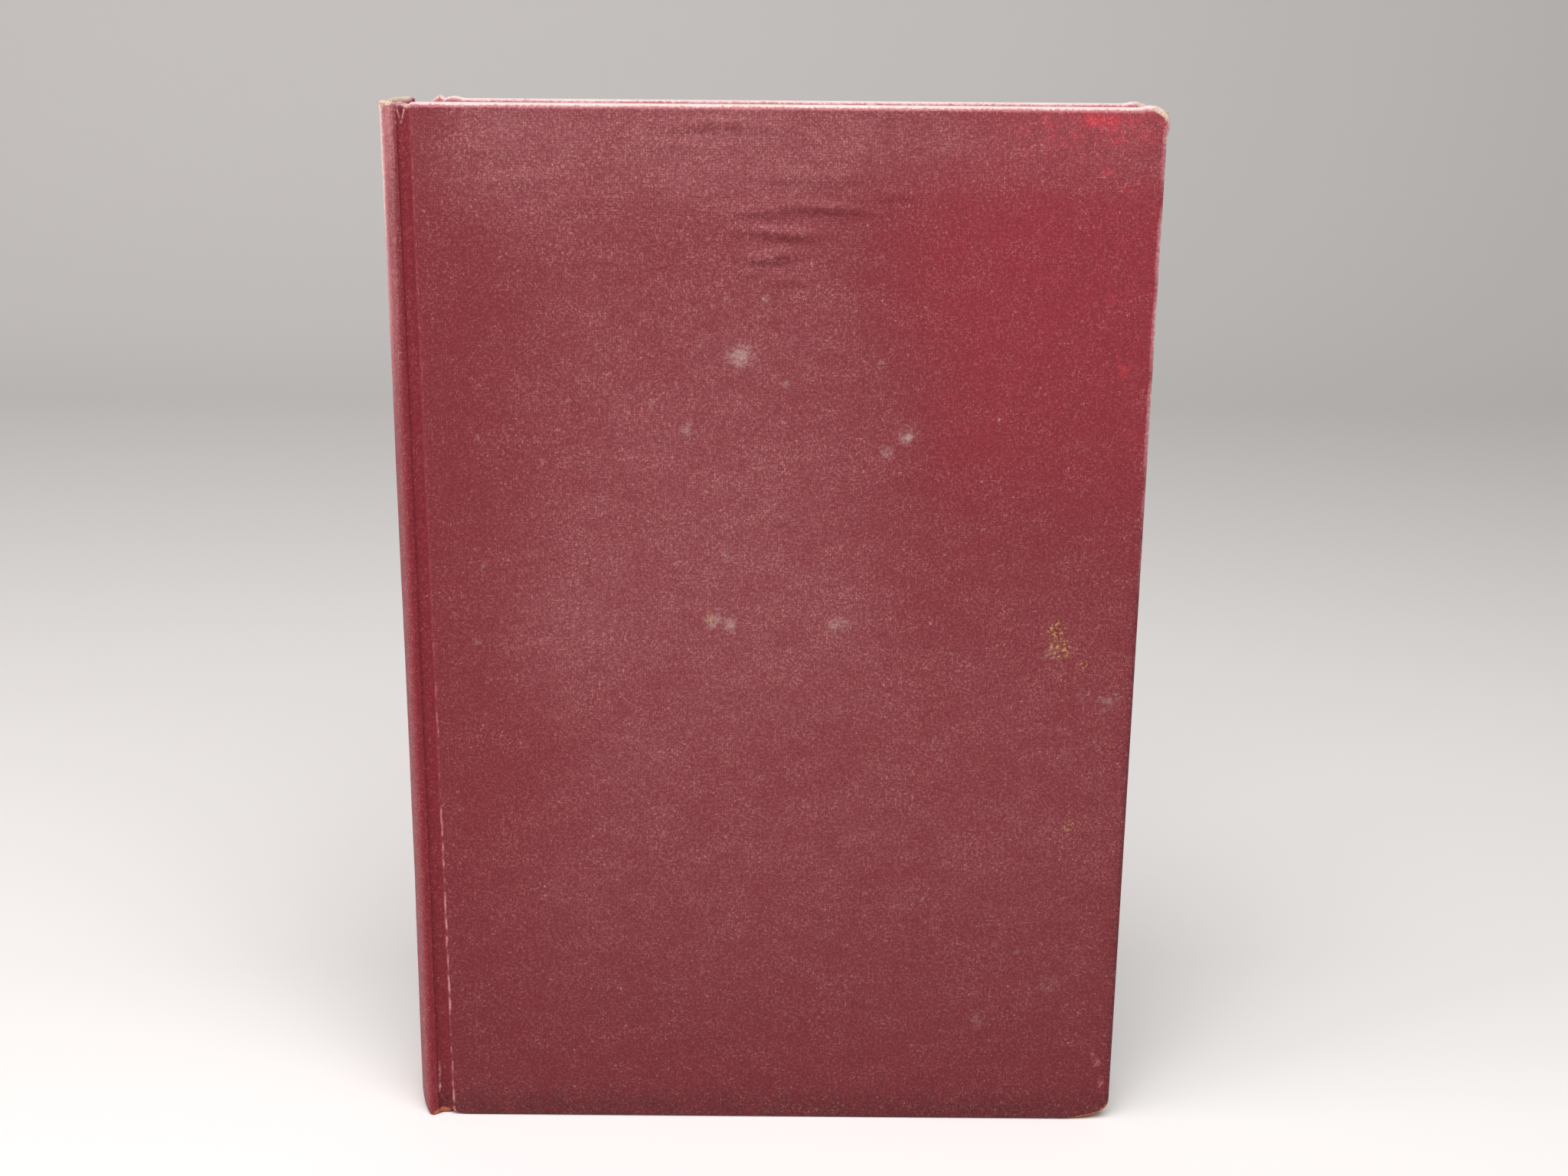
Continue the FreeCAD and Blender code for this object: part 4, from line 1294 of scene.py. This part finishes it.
def stage_material():
    """Matt paint, a shade darker where it only sends light back to the book."""
    made, tree, _, (mottle,) = material("painted_studio_floor", (0.02, 3.0, 0.6))
    path = add(tree, "ShaderNodeLightPath")
    seen = path["Is Camera Ray"]
    for ray in ("Is Glossy Ray", "Is Transmission Ray"):
        seen = add(tree, "ShaderNodeMath", seen, path[ray], operation="MAXIMUM")[0]
    colour = layered(tree, "#DAD7D1", ("#DEDBD6", (mottle, 0.3, 0.7)), ("#F7F5F2", seen))
    dress(tree, colour, 0.9, 0.1)
    return made


def floor_piece():
    """A floor that bends up into a wall, in metres until it is built."""
    line = [(FLOOR_FRONT, 0.0), (BEND_START, 0.0)]
    for turn in np.linspace(0, math.pi / 2, 12)[1:]:
        line.append((BEND_START + BEND_RADIUS * math.sin(turn), BEND_RADIUS * (1 - math.cos(turn))))
    line.append((BEND_START + BEND_RADIUS, WALL_TOP))
    points = [(x, y, z) for y, z in line for x in (-FLOOR_HALF_WIDTH, FLOOR_HALF_WIDTH)]
    faces = [(2 * k, 2 * k + 1, 2 * k + 3, 2 * k + 2) for k in range(len(line) - 1)]
    return build("floor", np.array(points) / MM, faces, stage_material())


floor = floor_piece()
print("floor of", len(floor.data.polygons), "faces")


# %% Lamps and world
def area_lamp(name, place, aim, size, watts, colour):
    """A rectangular lamp at a place, turned to what it aims at."""
    data = bpy.data.lights.new(name, "AREA")
    data.shape = "RECTANGLE"
    data.size, data.size_y = size
    data.energy = watts
    data.color = linear(colour)[:3]
    lamp = bpy.data.objects.new(name, data)
    lamp.location = place
    lamp.rotation_euler = (Vector(aim) - Vector(place)).to_track_quat("-Z", "Y").to_euler()
    bpy.context.scene.collection.objects.link(lamp)


area_lamp("ceiling_lamp", (0.02, -0.44, 0.86), (0, 0, 0.15), (0.9, 0.6), 9.3, "#FAF9FB")
area_lamp("window_fill", (-1.5, -0.5, 0.5), (0, 0, 0.13), (0.9, 0.9), 14, "#FFF6F6")
world = bpy.data.worlds.new("studio")
world.use_nodes = True
background = world.node_tree.nodes["Background"]
background.inputs["Color"].default_value = linear("#F2F2F4")
background.inputs["Strength"].default_value = 0.25
bpy.context.scene.world = world
